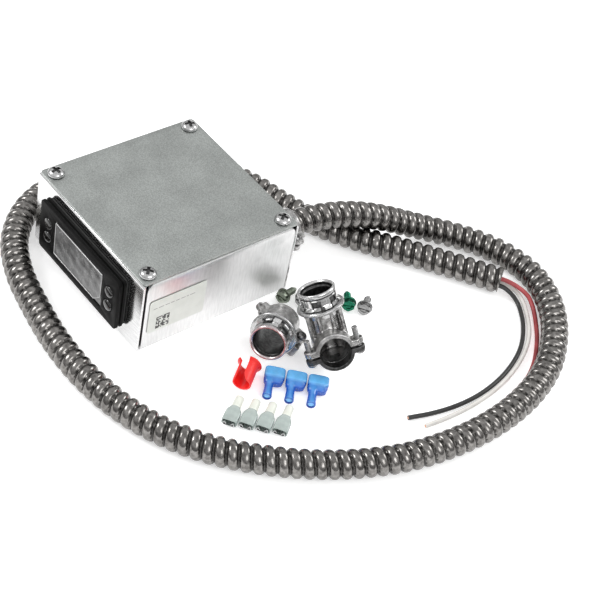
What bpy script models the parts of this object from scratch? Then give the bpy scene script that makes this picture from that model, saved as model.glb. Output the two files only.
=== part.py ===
"""Digital panel controller in a galvanised steel box, with its flexible conduit whip and loose fitting kit.

Frame: the origin is the centre of the box's base, +Z is up, -Y is the controller's face and +X the label's side.
Lengths are in metres.
"""
import math

import bmesh
import bpy
from mathutils import Matrix, Vector

MM = 0.001

# Box
BOX_WIDTH = 100 * MM
BOX_DEPTH = 100 * MM
BOX_HEIGHT = 48.5 * MM
SHEET = 1.2 * MM
BEND = 1.4 * MM
FLANGE = 12 * MM
SEAM = 1.6 * MM
SEAM_FOOT = 3 * MM
CORNER = 5 * MM
GAP = 0.3 * MM
COVER_INSET = 0.2 * MM

# Cover screws
SCREW_INSET = 6.4 * MM
SCREW_HEAD = 9.4 * MM
SCREW_HEAD_HEIGHT = 2.8 * MM
SCREW_SHANK = 4.2 * MM
SCREW_LENGTH = 9 * MM

# Controller: its cut-out in the front wall, and the face that laps over it
CUTOUT_WIDTH = 71 * MM
CUTOUT_HEIGHT = 29 * MM
FACE_LAP = 2 * MM
FACE_X = 0.5 * MM
FACE_Z = 25.2 * MM
FACE_CORNER = 2.2 * MM
FRAME_THICK = 2.2 * MM
GROOVE_DEPTH = 0.9 * MM
GROOVE_WIDTH = 0.8 * MM
RIM_THICK = 1.6 * MM
GASKET_THICK = 0.8 * MM
GASKET_INSET = 0.5 * MM
WINDOW_MARGIN = 5 * MM
WINDOW_CORNER = 0.6 * MM
LENS_THICK = 1.4 * MM
KEY_DIAMETER = 7 * MM
KEY_EDGE = 8.2 * MM
KEY_BAR = 2.8 * MM
KEY_SPACE = 2.4 * MM
KEY_TRAVEL = 0.6 * MM
KEY_PROUD = 1.1 * MM

# Controller's case and what is in it
CASE_DEPTH = 56 * MM
CASE_WALL = 1.5 * MM
CASE_CORNER = 1 * MM
REAR_COVER = 2 * MM
TERMINAL_INSET = 5.5 * MM
TERMINAL_DEPTH = 8 * MM
TERMINAL_HEIGHT = 15 * MM
MODULE_DEPTH = 6 * MM
MODULE_INSET = 1.5 * MM
BOARD_THICK = 1.6 * MM
BOARD_RISE = 2.5 * MM
BOARD_SETBACK = 9 * MM
RELAY_SIZE = (15 * MM, 19 * MM, 15.5 * MM)
RELAY_X = -18 * MM
TRANSFORMER_SIZE = (23 * MM, 20 * MM, 16 * MM)
TRANSFORMER_X = 15 * MM
CLIP_GRIP = 2.6 * MM
CLIP_LENGTH = 24 * MM
CLIP_HEIGHT = 16 * MM
CLIP_LIP = 3 * MM

# Label on the +X wall
LABEL_LENGTH = 36 * MM
LABEL_HEIGHT = 23 * MM
LABEL_THICK = 0.3 * MM
LABEL_INSET = 5 * MM
LABEL_Z = 23 * MM

# Conduit and its connectors
CONDUIT_DIAMETER = 15.5 * MM
CONDUIT_EXIT_INSET = 21 * MM
CONDUIT_EXIT_Z = 24.25 * MM
KNOCKOUT = 22.2 * MM
KNOCKOUT_CLEARANCE = 0.8 * MM
COLLAR_LAP = 1.65 * MM
COLLAR_THICK = 2.2 * MM
LOCKNUT_LAP = 2.9 * MM
LOCKNUT_THICK = 2.4 * MM
THROAT_REACH = 7.5 * MM
THROAT_WALL = 3.6 * MM
CLAMP_CLEARANCE = 0.45 * MM
CLAMP_WALL = 2.4 * MM
BOX_GRIP_LENGTH = 12.5 * MM
STRAP_GAP = 1.2 * MM
STRAP_WALL = 2 * MM
STRAP_EAR = 2.6 * MM
GRIP_EAR = 3.2 * MM
EAR_CORNER = 1 * MM
EAR_END = 3 * MM
SCREW_OFFSET = 4.8 * MM
CLAMP_SHANK = 3.2 * MM
CLAMP_HEAD = 5.8 * MM
CLAMP_HEAD_HEIGHT = 2.2 * MM
WIRE_DIAMETER = 2.6 * MM

# Snap-in throat, which both loose connectors have
SNAP_WALL = 2.1 * MM
SNAP_NECK = 9.5 * MM
NECK_DEPTH = 1.2 * MM
RIM_LIP = 2.8 * MM
RING_THICK = 0.6 * MM
RING_WINDOW = 4.6 * MM

# Conductors inside the box, from the connector's axis: across and up where they start, then across at the terminals
SUPPLY_WIRES = {
    "black": (-3.4 * MM, -1 * MM, -34.5 * MM),
    "white": (0, 2.6 * MM, -26.5 * MM),
    "red": (3.4 * MM, -1 * MM, -18.5 * MM),
}

# Loose kit: places are from the foot of the box's right wall, and the angle connector's is from the straight
# connector's rim, in lengths of a clamp's ear
STRAIGHT_RIM = (41.5 * MM, 2.7 * MM, 17.9 * MM)
STRAIGHT_AXIS = (0.54, -0.81, 0.22)
STRAIGHT_TAIL = 17 * MM
STRAIGHT_GRIP_LENGTH = 12 * MM
ANGLE_FROM_STRAIGHT = (0.675, 2.15)
ANGLE_CORNER_Z = 13.5 * MM
ANGLE_THROAT_AXIS = (-0.5, -0.11, 0.86)
ANGLE_MOUTH_AXIS = (0.84, -0.47, 0.27)
ANGLE_THROAT_REACH = 31 * MM
ANGLE_GRIP_LENGTH = 7.4 * MM
BUSHING_PLACE = (40.6 * MM, -6.2 * MM, 7.2 * MM)
BUSHING_AXIS = (0.58, -0.8, -0.12)
BUSHING_BORE = 8.4 * MM
BUSHING_WALL = 0.9 * MM
BUSHING_LENGTH = 14 * MM
BUSHING_SLIT = 4.5 * MM
FLAG_ROW_START = (52.5 * MM, 1.5 * MM, 0)
FLAG_ROW = (0.7, 0.714)
FLAG_PITCH = 11.6 * MM
FLAG_SIZE = (11.2 * MM, 10.5 * MM, 6.4 * MM)
FLAG_WALL = 1.2 * MM
FLAG_BARREL = 5 * MM
FLAG_BARREL_LENGTH = 10.5 * MM
NYLON_ROW_START = (62.6 * MM, -33.5 * MM, 0)
NYLON_ROW = (0.69, 0.72)
NYLON_TURN = -11
NYLON_PITCH = 8.7 * MM
NYLON_SIZE = (8.2 * MM, 10 * MM, 4.6 * MM)
NYLON_WALL = 0.8 * MM
NYLON_BARREL = 5 * MM
NYLON_BARREL_LENGTH = 9 * MM
HEX_SCREWS = {
    "hex_screw_1": ((7.4 * MM, 42.4 * MM, 0), (0.25, -0.97), "screw_green"),
    "hex_screw_2": ((14.2 * MM, 50.2 * MM, 0), (0.5, -0.8), "zinc"),
    "hex_screw_3": ((29.5 * MM, 70.7 * MM, 0), (0.8, -0.6), "screw_green"),
    "hex_screw_4": ((36.4 * MM, 77 * MM, 0), (0.6, -0.8), "zinc"),
}
HEX_WASHER = 8.6 * MM
HEX_ACROSS = 6.4 * MM
HEX_HEIGHT = 3 * MM
HEX_SHANK = 4 * MM
HEX_SHANK_LENGTH = 11 * MM
LAID_GAP = 0.15 * MM

# The conduit's axis, from the box's back wall to its free end, in millimetres
CONDUIT_ROUTE = [
    (29, 52.8, 24.25), (29, 66, 24.3), (30.8, 79, 24.6), (34.5, 93, 24.4), (39.5, 107, 22.6), (45, 121, 18.6),
    (51, 134, 13.9), (59, 147, 10.2), (70, 159.5, 8.3), (84, 169.5, 7.9), (100, 176, 7.9), (118, 177.5, 7.9),
    (135, 172.5, 7.9), (150, 163, 7.9), (163, 150, 7.9), (174, 134.5, 7.9), (182, 116, 7.9), (187, 95, 7.9),
    (188.8, 73, 7.9), (187.5, 50, 7.9), (183, 26, 7.9), (174, 2, 7.9), (162, -20, 7.9), (147, -40, 7.9),
    (129, -58, 7.9), (108, -72, 7.9), (84, -81.5, 7.9), (58, -86, 7.9), (30, -86, 7.9), (2, -82, 7.9),
    (-24, -76, 7.9), (-47, -65, 7.9), (-64.5, -46.5, 7.9), (-73.5, -23, 7.9), (-75.5, 2, 7.9), (-71, 26, 7.9),
    (-60.5, 49, 7.9), (-44, 67, 7.9), (-22.5, 78.5, 7.9), (1, 85.5, 7.9), (24, 94, 7.9), (46, 108, 7.9),
    (68, 125.5, 7.9), (90, 142.5, 7.9), (111, 157.5, 7.9),
]

# Free ends of the three conductors, in millimetres
TAIL_ROUTES = {
    "black": [(113.5, 156.1, 6.4), (117.6, 158.6, 5), (122, 159.6, 3.4), (127, 158.8, 2.1), (132, 156.2, 1.6),
              (138, 152, 1.6), (144.5, 146, 1.6), (150.5, 139, 1.6), (155.5, 131, 1.6), (160, 121, 1.6),
              (163.5, 110, 1.6), (165.8, 98, 1.6), (166.6, 86, 1.6), (165.8, 73, 1.6), (163.3, 60, 1.6),
              (159.3, 47, 1.6)],
    "white": [(111.3, 159.2, 5.7), (115.6, 162.2, 4.8), (120.5, 163.8, 3.4), (126, 163, 2.2), (132, 160, 1.6),
              (138, 156, 1.6), (144.5, 150.8, 1.6), (150.5, 144.2, 1.6), (156, 136, 1.6), (161, 126, 1.6),
              (165, 115, 1.6), (168, 103, 1.6), (169.8, 90, 1.6), (170.4, 77, 1.6), (169.8, 64, 1.6),
              (168.3, 51.4, 1.6)],
    "red": [(112.1, 158, 9.7), (116.4, 161, 9), (121.5, 164, 7.4), (127, 165.6, 5.4), (133, 164, 3.4),
            (139, 160.6, 2), (145, 156, 1.6), (151, 150.8, 1.6), (157, 144.5, 1.6), (162.5, 138, 1.6),
            (167.5, 130.6, 1.6), (172, 121.5, 1.6), (175.6, 111, 1.6), (178, 100, 1.6)],
}

FINISHES = {
    "galvanised": ((0.55, 0.56, 0.56), 0.42, 1.0),
    "zinc": ((0.62, 0.62, 0.61), 0.3, 1.0),
    "cast_zinc": ((0.46, 0.46, 0.44), 0.45, 1.0),
    "conduit_steel": ((0.42, 0.4, 0.38), 0.32, 1.0),
    "black_plastic": ((0.02, 0.02, 0.02), 0.5, 0.0),
    "glossy_black": ((0.015, 0.015, 0.015), 0.15, 0.0),
    "rubber": ((0.03, 0.03, 0.03), 0.8, 0.0),
    "window": ((0.3, 0.31, 0.31), 0.25, 0.0),
    "label_film": ((0.72, 0.73, 0.7), 0.4, 0.0),
    "board_green": ((0.03, 0.16, 0.07), 0.5, 0.0),
    "relay_blue": ((0.05, 0.18, 0.5), 0.4, 0.0),
    "lamination": ((0.2, 0.2, 0.2), 0.5, 1.0),
    "wire_black": ((0.02, 0.02, 0.02), 0.4, 0.0),
    "wire_white": ((0.85, 0.85, 0.83), 0.4, 0.0),
    "wire_red": ((0.35, 0.03, 0.03), 0.4, 0.0),
    "bushing_red": ((0.8, 0.03, 0.03), 0.35, 0.0),
    "nylon_blue": ((0.04, 0.2, 0.75), 0.25, 0.0),
    "nylon_clear": ((0.6, 0.68, 0.65), 0.3, 0.0),
    "screw_green": ((0.03, 0.2, 0.11), 0.4, 0.6),
}


def material(finish):
    found = bpy.data.materials.get(finish)
    if found:
        return found
    colour, roughness, metallic = FINISHES[finish]
    made = bpy.data.materials.new(finish)
    made.use_nodes = True
    shader = made.node_tree.nodes["Principled BSDF"]
    shader.inputs["Base Color"].default_value = (*colour, 1)
    shader.inputs["Roughness"].default_value = roughness
    shader.inputs["Metallic"].default_value = metallic
    made.diffuse_color = (*colour, 1)
    return made


def add_object(name, data, finish, place=Matrix()):
    """Link data as an object of the part, or as a cutter when finish is None."""
    made = bpy.data.objects.new(name, data)
    made.matrix_world = place
    if finish:
        part_collection.objects.link(made)
        data.materials.append(material(finish))
    else:
        cutter_collection.objects.link(made)
        made.hide_render = True
        made.display_type = "WIRE"
    return made


def shade(mesh):
    mesh.shade_smooth()
    mesh.set_sharp_from_angle(angle=math.radians(35))


def block(name, size, centre, finish=None, rounded=0, upright=None, place=Matrix(), steps=3):
    """A box; rounded bevels every edge, upright=(axis, radius) bevels only the edges along one axis."""
    bm = bmesh.new()
    bmesh.ops.create_cube(bm, size=1)
    bmesh.ops.scale(bm, vec=size, verts=bm.verts)
    if upright:
        axis, radius = upright
        edges = [e for e in bm.edges if abs((e.verts[0].co - e.verts[1].co)[axis]) > size[axis] / 2]
        bmesh.ops.bevel(bm, geom=edges, offset=radius, segments=steps, affect="EDGES", profile=0.5)
    if rounded:
        bmesh.ops.bevel(bm, geom=bm.edges[:], offset=rounded, segments=2, affect="EDGES", profile=0.5)
    mesh = bpy.data.meshes.new(name)
    bm.to_mesh(mesh)
    bm.free()
    return add_object(name, mesh, finish, place @ Matrix.Translation(centre))


def rod(name, radius, length, centre, axis="Z", finish=None, sides=24, place=Matrix()):
    """A cylinder with its length along one axis."""
    bm = bmesh.new()
    bmesh.ops.create_cone(bm, cap_ends=True, segments=sides, radius1=radius, radius2=radius, depth=length)
    mesh = bpy.data.meshes.new(name)
    bm.to_mesh(mesh)
    bm.free()
    shade(mesh)
    turns = {"X": Matrix.Rotation(math.pi / 2, 4, "Y"), "Y": Matrix.Rotation(-math.pi / 2, 4, "X"), "Z": Matrix()}
    return add_object(name, mesh, finish, place @ Matrix.Translation(centre) @ turns[axis])


def turned(name, outline, finish=None, place=Matrix(), sides=24, ring=False):
    """A turned shape about the local Z axis; outline holds (radius, z) down the outer side, top to bottom."""
    mesh = bpy.data.meshes.new(name)
    edges = [(i, i + 1) for i in range(len(outline) - 1)]
    if ring:
        edges.append((len(outline) - 1, 0))
    mesh.from_pydata([(radius, 0, z) for radius, z in outline], edges, [])
    made = add_object(name, mesh, finish, place)
    screw = made.modifiers.new("turn", "SCREW")
    screw.steps = screw.render_steps = sides
    screw.use_merge_vertices = True
    screw.merge_threshold = 0.00001
    screw.use_smooth_shade = True
    return made


def boolean(target, operation, tools):
    for tool in tools:
        modifier = target.modifiers.new(operation.lower(), "BOOLEAN")
        modifier.operation = operation
        modifier.object = tool
    return target


def cut(target, *tools):
    return boolean(target, "DIFFERENCE", tools)


def fuse(target, *tools):
    return boolean(target, "UNION", tools)


def smooth_route(route, spacing):
    """Points about one spacing apart on a cubic curve through the route's own points."""
    knots = [Vector(point) * MM for point in route]
    knots = [knots[0] * 2 - knots[1]] + knots + [knots[-1] * 2 - knots[-2]]
    dense = []
    for before, start, end, after in zip(knots, knots[1:], knots[2:], knots[3:]):
        for step in range(12):
            t = step / 12
            dense.append(0.5 * (2 * start + (end - before) * t + (2 * before - 5 * start + 4 * end - after) * t * t
                                + (3 * start - before - 3 * end + after) * t ** 3))
    dense.append(knots[-2])
    travelled = [0.0]
    for first, second in zip(dense, dense[1:]):
        travelled.append(travelled[-1] + (second - first).length)
    count = max(2, round(travelled[-1] / spacing))
    points = []
    index = 0
    for number in range(count + 1):
        target = travelled[-1] * number / count
        while index < len(travelled) - 2 and travelled[index + 1] < target:
            index += 1
        share = (target - travelled[index]) / (travelled[index + 1] - travelled[index])
        points.append(dense[index].lerp(dense[index + 1], share))
    return points


def tube(name, points, diameter, finish, resolution=2):
    curve = bpy.data.curves.new(name, "CURVE")
    curve.dimensions = "3D"
    curve.bevel_depth = diameter / 2
    curve.bevel_resolution = resolution
    curve.use_fill_caps = True
    spline = curve.splines.new("POLY")
    spline.points.add(len(points) - 1)
    for point, place in zip(spline.points, points):
        point.co = (*place, 1)
    return add_object(name, curve, finish)


def facing(origin, axis, side=(0, 0, 1)):
    """A place whose +Z points along axis and whose +Y leans towards side."""
    z = Vector(axis).normalized()
    x = Vector(side).cross(z).normalized()
    y = z.cross(x)
    turn = Matrix((x, y, z)).transposed().to_4x4()
    return Matrix.Translation(origin) @ turn


# Sizes and places that follow from the values above
WALL_TOP = BOX_HEIGHT - SHEET - GAP
RIGHT_WALL = BOX_WIDTH / 2
FRONT_WALL = -BOX_DEPTH / 2
BACK_WALL = BOX_DEPTH / 2
KIT_ORIGIN = Vector((RIGHT_WALL, 0, 0))
FACE_WIDTH = CUTOUT_WIDTH + 2 * FACE_LAP
FACE_HEIGHT = CUTOUT_HEIGHT + 2 * FACE_LAP
WINDOW_WIDTH = FACE_WIDTH - 2 * KEY_EDGE - KEY_DIAMETER - 2 * KEY_BAR
WINDOW_HEIGHT = FACE_HEIGHT - 2 * WINDOW_MARGIN
KEY_REACH = FACE_WIDTH / 2 - KEY_EDGE
KEY_PITCH = KEY_DIAMETER + KEY_SPACE
SCREW_PLACES = {
    "front_left": (-RIGHT_WALL + SCREW_INSET, FRONT_WALL + SCREW_INSET),
    "front_right": (RIGHT_WALL - SCREW_INSET, FRONT_WALL + SCREW_INSET),
    "back_left": (-RIGHT_WALL + SCREW_INSET, BACK_WALL - SCREW_INSET),
    "back_right": (RIGHT_WALL - SCREW_INSET, BACK_WALL - SCREW_INSET),
}
SCREW_HOLE = SCREW_SHANK + 2 * GAP
GASKET_FRONT = FRONT_WALL - GAP - GASKET_THICK
RIM_BACK = GASKET_FRONT - GAP
RIM_FRONT = RIM_BACK - RIM_THICK
GROOVE_FRONT = RIM_FRONT - GROOVE_WIDTH
FRAME_BACK = GROOVE_FRONT - GAP
FRAME_FRONT = FRAME_BACK - FRAME_THICK
KEY_PLACES = {
    "key_upper_left": (FACE_X - KEY_REACH, FACE_Z + KEY_PITCH / 2),
    "key_lower_left": (FACE_X - KEY_REACH, FACE_Z - KEY_PITCH / 2),
    "key_upper_right": (FACE_X + KEY_REACH, FACE_Z + KEY_PITCH / 2),
    "key_lower_right": (FACE_X + KEY_REACH, FACE_Z - KEY_PITCH / 2),
}
EXIT_X = RIGHT_WALL - CONDUIT_EXIT_INSET
GRIP_BORE = CONDUIT_DIAMETER + 2 * CLAMP_CLEARANCE
GRIP_RADIUS = GRIP_BORE / 2 + CLAMP_WALL
SCREW_REACH = GRIP_BORE / 2 + SCREW_OFFSET
EAR_REACH = SCREW_REACH + EAR_END
CLAMP_SCREW_HOLE = CLAMP_SHANK + 2 * GAP
THROAT_OUTER = KNOCKOUT - 2 * KNOCKOUT_CLEARANCE
THROAT_BORE = THROAT_OUTER - 2 * THROAT_WALL
SNAP_BORE = THROAT_OUTER - 2 * SNAP_WALL
COLLAR_DIAMETER = KNOCKOUT + 2 * COLLAR_LAP
LOCKNUT = KNOCKOUT + 2 * LOCKNUT_LAP
CASE_BACK = FRONT_WALL + CASE_DEPTH
TERMINAL_BACK = CASE_BACK + GAP + REAR_COVER + GAP + TERMINAL_DEPTH


def make_enclosure():
    body = block("enclosure_body", (BOX_WIDTH, BOX_DEPTH, WALL_TOP), (0, 0, WALL_TOP / 2), "galvanised", rounded=BEND)
    inside = (BOX_WIDTH - 2 * SHEET, BOX_DEPTH - 2 * SHEET, WALL_TOP - 2 * SHEET)
    cavity = block("cavity_cutter", inside, (0, 0, WALL_TOP / 2), rounded=BEND / 3)
    mouth = block("mouth_cutter", (BOX_WIDTH - 2 * FLANGE, BOX_DEPTH - 2 * FLANGE, 4 * SHEET), (0, 0, WALL_TOP))
    opening = block("fascia_cutter", (CUTOUT_WIDTH, 4 * SHEET, CUTOUT_HEIGHT), (FACE_X, FRONT_WALL, FACE_Z))
    knockout = rod("knockout_cutter", KNOCKOUT / 2, 4 * SHEET, (EXIT_X, BACK_WALL, CONDUIT_EXIT_Z), axis="Y")
    cut(body, cavity, mouth, opening, knockout)
    for corner, (x, y) in SCREW_PLACES.items():
        cut(body, rod("flange_hole_" + corner, SCREW_HOLE / 2, 4 * SHEET, (x, y, WALL_TOP), sides=16))
        cut_corner_seam(body, corner, math.copysign(1, x), math.copysign(1, y))


def cut_corner_seam(body, corner, side_x, side_y):
    """Part the side wall from the front or back wall, and the side flange from the flange beside it."""
    bite = GAP / 2
    wall_x = RIGHT_WALL - SHEET + bite
    wall_y = BACK_WALL - SHEET + bite
    slot = SEAM + bite
    tall = WALL_TOP - SEAM_FOOT + SHEET
    seam = block("seam_" + corner, (3 * SHEET, slot, tall),
                 (side_x * RIGHT_WALL, side_y * (wall_y - slot / 2), SEAM_FOOT + tall / 2))
    end_length = FLANGE + SEAM - SHEET + bite
    flange_end = block("flange_end_" + corner, (slot, end_length, 3 * SHEET),
                       (side_x * (wall_x - slot / 2), side_y * (wall_y - end_length / 2), WALL_TOP))
    flange_side = block("flange_side_" + corner, (FLANGE, SEAM, 3.2 * SHEET),
                        (side_x * (wall_x - FLANGE / 2), side_y * (BACK_WALL - FLANGE - SEAM / 2), WALL_TOP))
    nose_y = wall_y - slot + bite
    nose_z = WALL_TOP + bite
    nose = block("nose_" + corner, (3 * SHEET, CORNER, CORNER),
                 (side_x * RIGHT_WALL, side_y * (nose_y - CORNER / 2), nose_z - CORNER / 2))
    cut(nose, rod("nose_round_" + corner, CORNER, 5 * SHEET,
                  (side_x * RIGHT_WALL, side_y * (nose_y - bite - CORNER), WALL_TOP - CORNER), axis="X", sides=28))
    cut(body, seam, flange_end, flange_side, nose)


def make_cover():
    centre_z = BOX_HEIGHT - SHEET / 2
    size = (BOX_WIDTH - 2 * COVER_INSET, BOX_DEPTH - 2 * COVER_INSET, SHEET)
    cover = block("cover_plate", size, (0, 0, centre_z), "galvanised", upright=(2, CORNER / 2))
    for corner, (x, y) in SCREW_PLACES.items():
        cut(cover, rod("cover_hole_" + corner, SCREW_HOLE / 2, 4 * SHEET, (x, y, BOX_HEIGHT), sides=16))
        make_cover_screw("cover_screw_" + corner, x, y)


def make_cover_screw(name, x, y):
    head = SCREW_HEAD / 2
    top = SCREW_HEAD_HEIGHT
    outline = [(0, top), (head * 0.45, top * 0.93), (head * 0.8, top * 0.68), (head * 0.97, top * 0.32), (head, 0),
               (SCREW_SHANK / 2, 0), (SCREW_SHANK / 2, 0.8 * MM - SCREW_LENGTH), (SCREW_SHANK / 3, -SCREW_LENGTH),
               (0, -SCREW_LENGTH)]
    place = Matrix.Translation((x, y, BOX_HEIGHT + GAP)) @ Matrix.Rotation(math.radians(20), 4, "Z")
    screw = turned(name, outline, "zinc", place, sides=16)
    slot_centre = (0, 0, top)
    cut(screw, block(name + "_slot_a", (head * 1.05, head * 0.22, 2.4 * MM), slot_centre, place=place),
        block(name + "_slot_b", (head * 0.22, head * 1.05, 2.4 * MM), slot_centre, place=place))


def make_label():
    centre_y = FRONT_WALL + LABEL_INSET + LABEL_LENGTH / 2
    centre_x = RIGHT_WALL + GAP + LABEL_THICK / 2
    block("label_plate", (LABEL_THICK, LABEL_LENGTH, LABEL_HEIGHT), (centre_x, centre_y, LABEL_Z), "label_film",
          upright=(0, 2 * MM))


def face_plate(name, width, height, front, back, corner, finish=None):
    return block(name, (width, back - front, height), (FACE_X, (front + back) / 2, FACE_Z), finish,
                 upright=(1, corner))


def make_fascia():
    frame = face_plate("fascia_frame", FACE_WIDTH, FACE_HEIGHT, FRAME_FRONT, FRAME_BACK, FACE_CORNER, "black_plastic")
    deep = 10 * MM
    cut(frame, block("window_cutter", (WINDOW_WIDTH + 2 * GAP, deep, WINDOW_HEIGHT + 2 * GAP),
                     (FACE_X, FRAME_FRONT, FACE_Z)))
    for name, (x, z) in KEY_PLACES.items():
        cut(frame, rod(name + "_cutter", KEY_DIAMETER / 2 + GAP, deep, (x, FRAME_FRONT, z), axis="Y", sides=20))
    rim = face_plate("fascia_rim", FACE_WIDTH, FACE_HEIGHT, RIM_FRONT, RIM_BACK, FACE_CORNER, "black_plastic")
    fuse(rim, face_plate("groove_core", FACE_WIDTH - 2 * GROOVE_DEPTH, FACE_HEIGHT - 2 * GROOVE_DEPTH, GROOVE_FRONT,
                         RIM_FRONT + RIM_THICK / 2, FACE_CORNER))
    module_hole = MODULE_INSET - GAP
    cut(rim, block("module_cutter", (WINDOW_WIDTH - 2 * module_hole, deep, WINDOW_HEIGHT - 2 * module_hole),
                   (FACE_X, RIM_BACK, FACE_Z)))
    gasket = face_plate("panel_gasket", FACE_WIDTH - 2 * GASKET_INSET, FACE_HEIGHT - 2 * GASKET_INSET, GASKET_FRONT,
                        FRONT_WALL - GAP, FACE_CORNER, "rubber")
    cut(gasket, block("gasket_cutter", (CUTOUT_WIDTH, deep, CUTOUT_HEIGHT), (FACE_X, GASKET_FRONT, FACE_Z)))
    lens_back = FRAME_FRONT + GAP + LENS_THICK
    face_plate("display_lens", WINDOW_WIDTH, WINDOW_HEIGHT, FRAME_FRONT + GAP, lens_back, WINDOW_CORNER, "window")
    module_size = (WINDOW_WIDTH - 2 * MODULE_INSET, MODULE_DEPTH, WINDOW_HEIGHT - 2 * MODULE_INSET)
    block("display_module", module_size, (FACE_X, lens_back + GAP + MODULE_DEPTH / 2, FACE_Z), "glossy_black")
    for name, (x, z) in KEY_PLACES.items():
        make_key(name, x, z)


def make_key(name, x, z):
    """A domed key; its origin is on the key's axis at the frame's front face, and it presses along +Y."""
    radius = KEY_DIAMETER / 2
    foot = FRAME_FRONT - FRAME_BACK + KEY_TRAVEL
    outline = [(0, KEY_PROUD), (radius * 0.6, KEY_PROUD * 0.85),
               (radius, 0.1 * MM), (radius, foot), (0, foot)]
    turned(name, outline, "glossy_black", facing((x, FRAME_FRONT, z), (0, -1, 0)), sides=16)


def make_controller_case():
    front = RIM_BACK + GAP
    back = CASE_BACK
    width = CUTOUT_WIDTH - 2 * GAP
    height = CUTOUT_HEIGHT - 2 * GAP
    case = face_plate("controller_case", width, height, front, back, CASE_CORNER, "black_plastic")
    cut(case, block("case_cutter", (width - 2 * CASE_WALL, 2 * CASE_DEPTH, height - 2 * CASE_WALL),
                    (FACE_X, FRONT_WALL + CASE_DEPTH / 2, FACE_Z)))
    cover_front = back + GAP
    cover_back = cover_front + REAR_COVER
    face_plate("case_rear_cover", width, height, cover_front, cover_back, CASE_CORNER, "black_plastic")
    block("terminal_block", (CUTOUT_WIDTH - 2 * TERMINAL_INSET, TERMINAL_DEPTH, TERMINAL_HEIGHT),
          (FACE_X, cover_back + GAP + TERMINAL_DEPTH / 2, FACE_Z), "board_green", rounded=0.4 * MM)
    board_z = FACE_Z - height / 2 + CASE_WALL + BOARD_RISE
    board_front = front + BOARD_SETBACK
    board_length = back - board_front - 1 * MM
    block("control_board", (width - 2 * CASE_WALL - 1 * MM, board_length, BOARD_THICK),
          (FACE_X, board_front + board_length / 2, board_z), "board_green")
    on_board = board_z + BOARD_THICK / 2 + GAP
    for name, size, x, finish in (("relay", RELAY_SIZE, RELAY_X, "relay_blue"),
                                  ("transformer", TRANSFORMER_SIZE, TRANSFORMER_X, "lamination")):
        block(name, size, (FACE_X + x, board_front + 0.6 * board_length, on_board + size[2] / 2), finish,
              rounded=0.5 * MM)
    for name, side in (("panel_clip_left", -1), ("panel_clip_right", 1)):
        make_panel_clip(name, side, width / 2)


def make_panel_clip(name, side, case_half_width):
    """A slide that grips the case's side and bears on the inner face of the front wall."""
    inner_wall = FRONT_WALL + SHEET + GAP
    inner_x = case_half_width + GAP
    clip = block(name, (CLIP_GRIP, CLIP_LENGTH, CLIP_HEIGHT),
                 (FACE_X + side * (inner_x + CLIP_GRIP / 2), inner_wall + CLIP_LENGTH / 2, FACE_Z), "black_plastic")
    fuse(clip, block(name + "_lip", (1.5 * CLIP_GRIP, CLIP_LIP, CLIP_HEIGHT),
                     (FACE_X + side * (inner_x + CLIP_GRIP), inner_wall + CLIP_LIP / 2, FACE_Z)))


def clamp_screw(name, place, length):
    """A pan-head clamp screw; the head stands on the local origin and the shank runs down -Z."""
    head = CLAMP_HEAD / 2
    top = CLAMP_HEAD_HEIGHT
    shank = CLAMP_SHANK / 2
    outline = [(0, top), (head * 0.62, top * 0.91), (head * 0.93, top * 0.45), (head, 0), (shank, 0), (shank, -length),
               (0, -length)]
    screw = turned(name, outline, "zinc", place, sides=12)
    cut(screw, block(name + "_slot", (3 * head, 0.9 * MM, top), (0, 0, top * 1.1), place=place))


def grip_section(body, name, place, length):
    """Fuse the lower half of a clamp, with its two ears, to a body; the grip runs from local Z 0 down to -length."""
    outer = GRIP_RADIUS
    shell = rod(name + "_shell", outer, length, (0, 0, -length / 2), place=place)
    ears = block(name + "_ears", (2 * EAR_REACH, GRIP_EAR, length), (0, -(GRIP_EAR + STRAP_GAP) / 2, -length / 2),
                 place=place, upright=(2, EAR_CORNER))
    fuse(shell, ears)
    cut(shell, block(name + "_upper", (4 * outer, 2 * outer, 2 * length), (0, outer - STRAP_GAP / 2, -length / 2),
                     place=place))
    fuse(body, shell)


def make_strap(name, place, length):
    """The upper half of a clamp: an arch over the conduit with two ears."""
    outer = GRIP_BORE / 2 + STRAP_WALL
    low = STRAP_GAP / 2
    strap = rod(name, outer, length, (0, 0, -length / 2), finish="cast_zinc", place=place)
    fuse(strap, block(name + "_ears", (2 * EAR_REACH, STRAP_EAR, length), (0, low + STRAP_EAR / 2, -length / 2),
                      place=place, upright=(2, EAR_CORNER)))
    cut(strap, rod(name + "_bore", GRIP_BORE / 2, 4 * length, (0, 0, 0), place=place),
        block(name + "_lower", (4 * outer, 2 * outer, 4 * length), (0, low - outer, 0), place=place))
    return strap


def drill_ears(piece, name, place, length, sides=(-1, 1)):
    for side in sides:
        cut(piece, rod(f"{name}_hole_{side}", CLAMP_SCREW_HOLE / 2, 20 * MM, (side * SCREW_REACH, 0, -length / 2),
                       axis="Y", sides=16, place=place))


def ear_screw_place(place, side, length):
    """Where a clamp screw's head stands on the strap's ear, with its shank through both ears."""
    seat = STRAP_GAP / 2 + STRAP_EAR + GAP
    return place @ Matrix.Translation((side * SCREW_REACH, seat, -length / 2)) @ Matrix.Rotation(-math.pi / 2, 4, "X")


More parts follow.
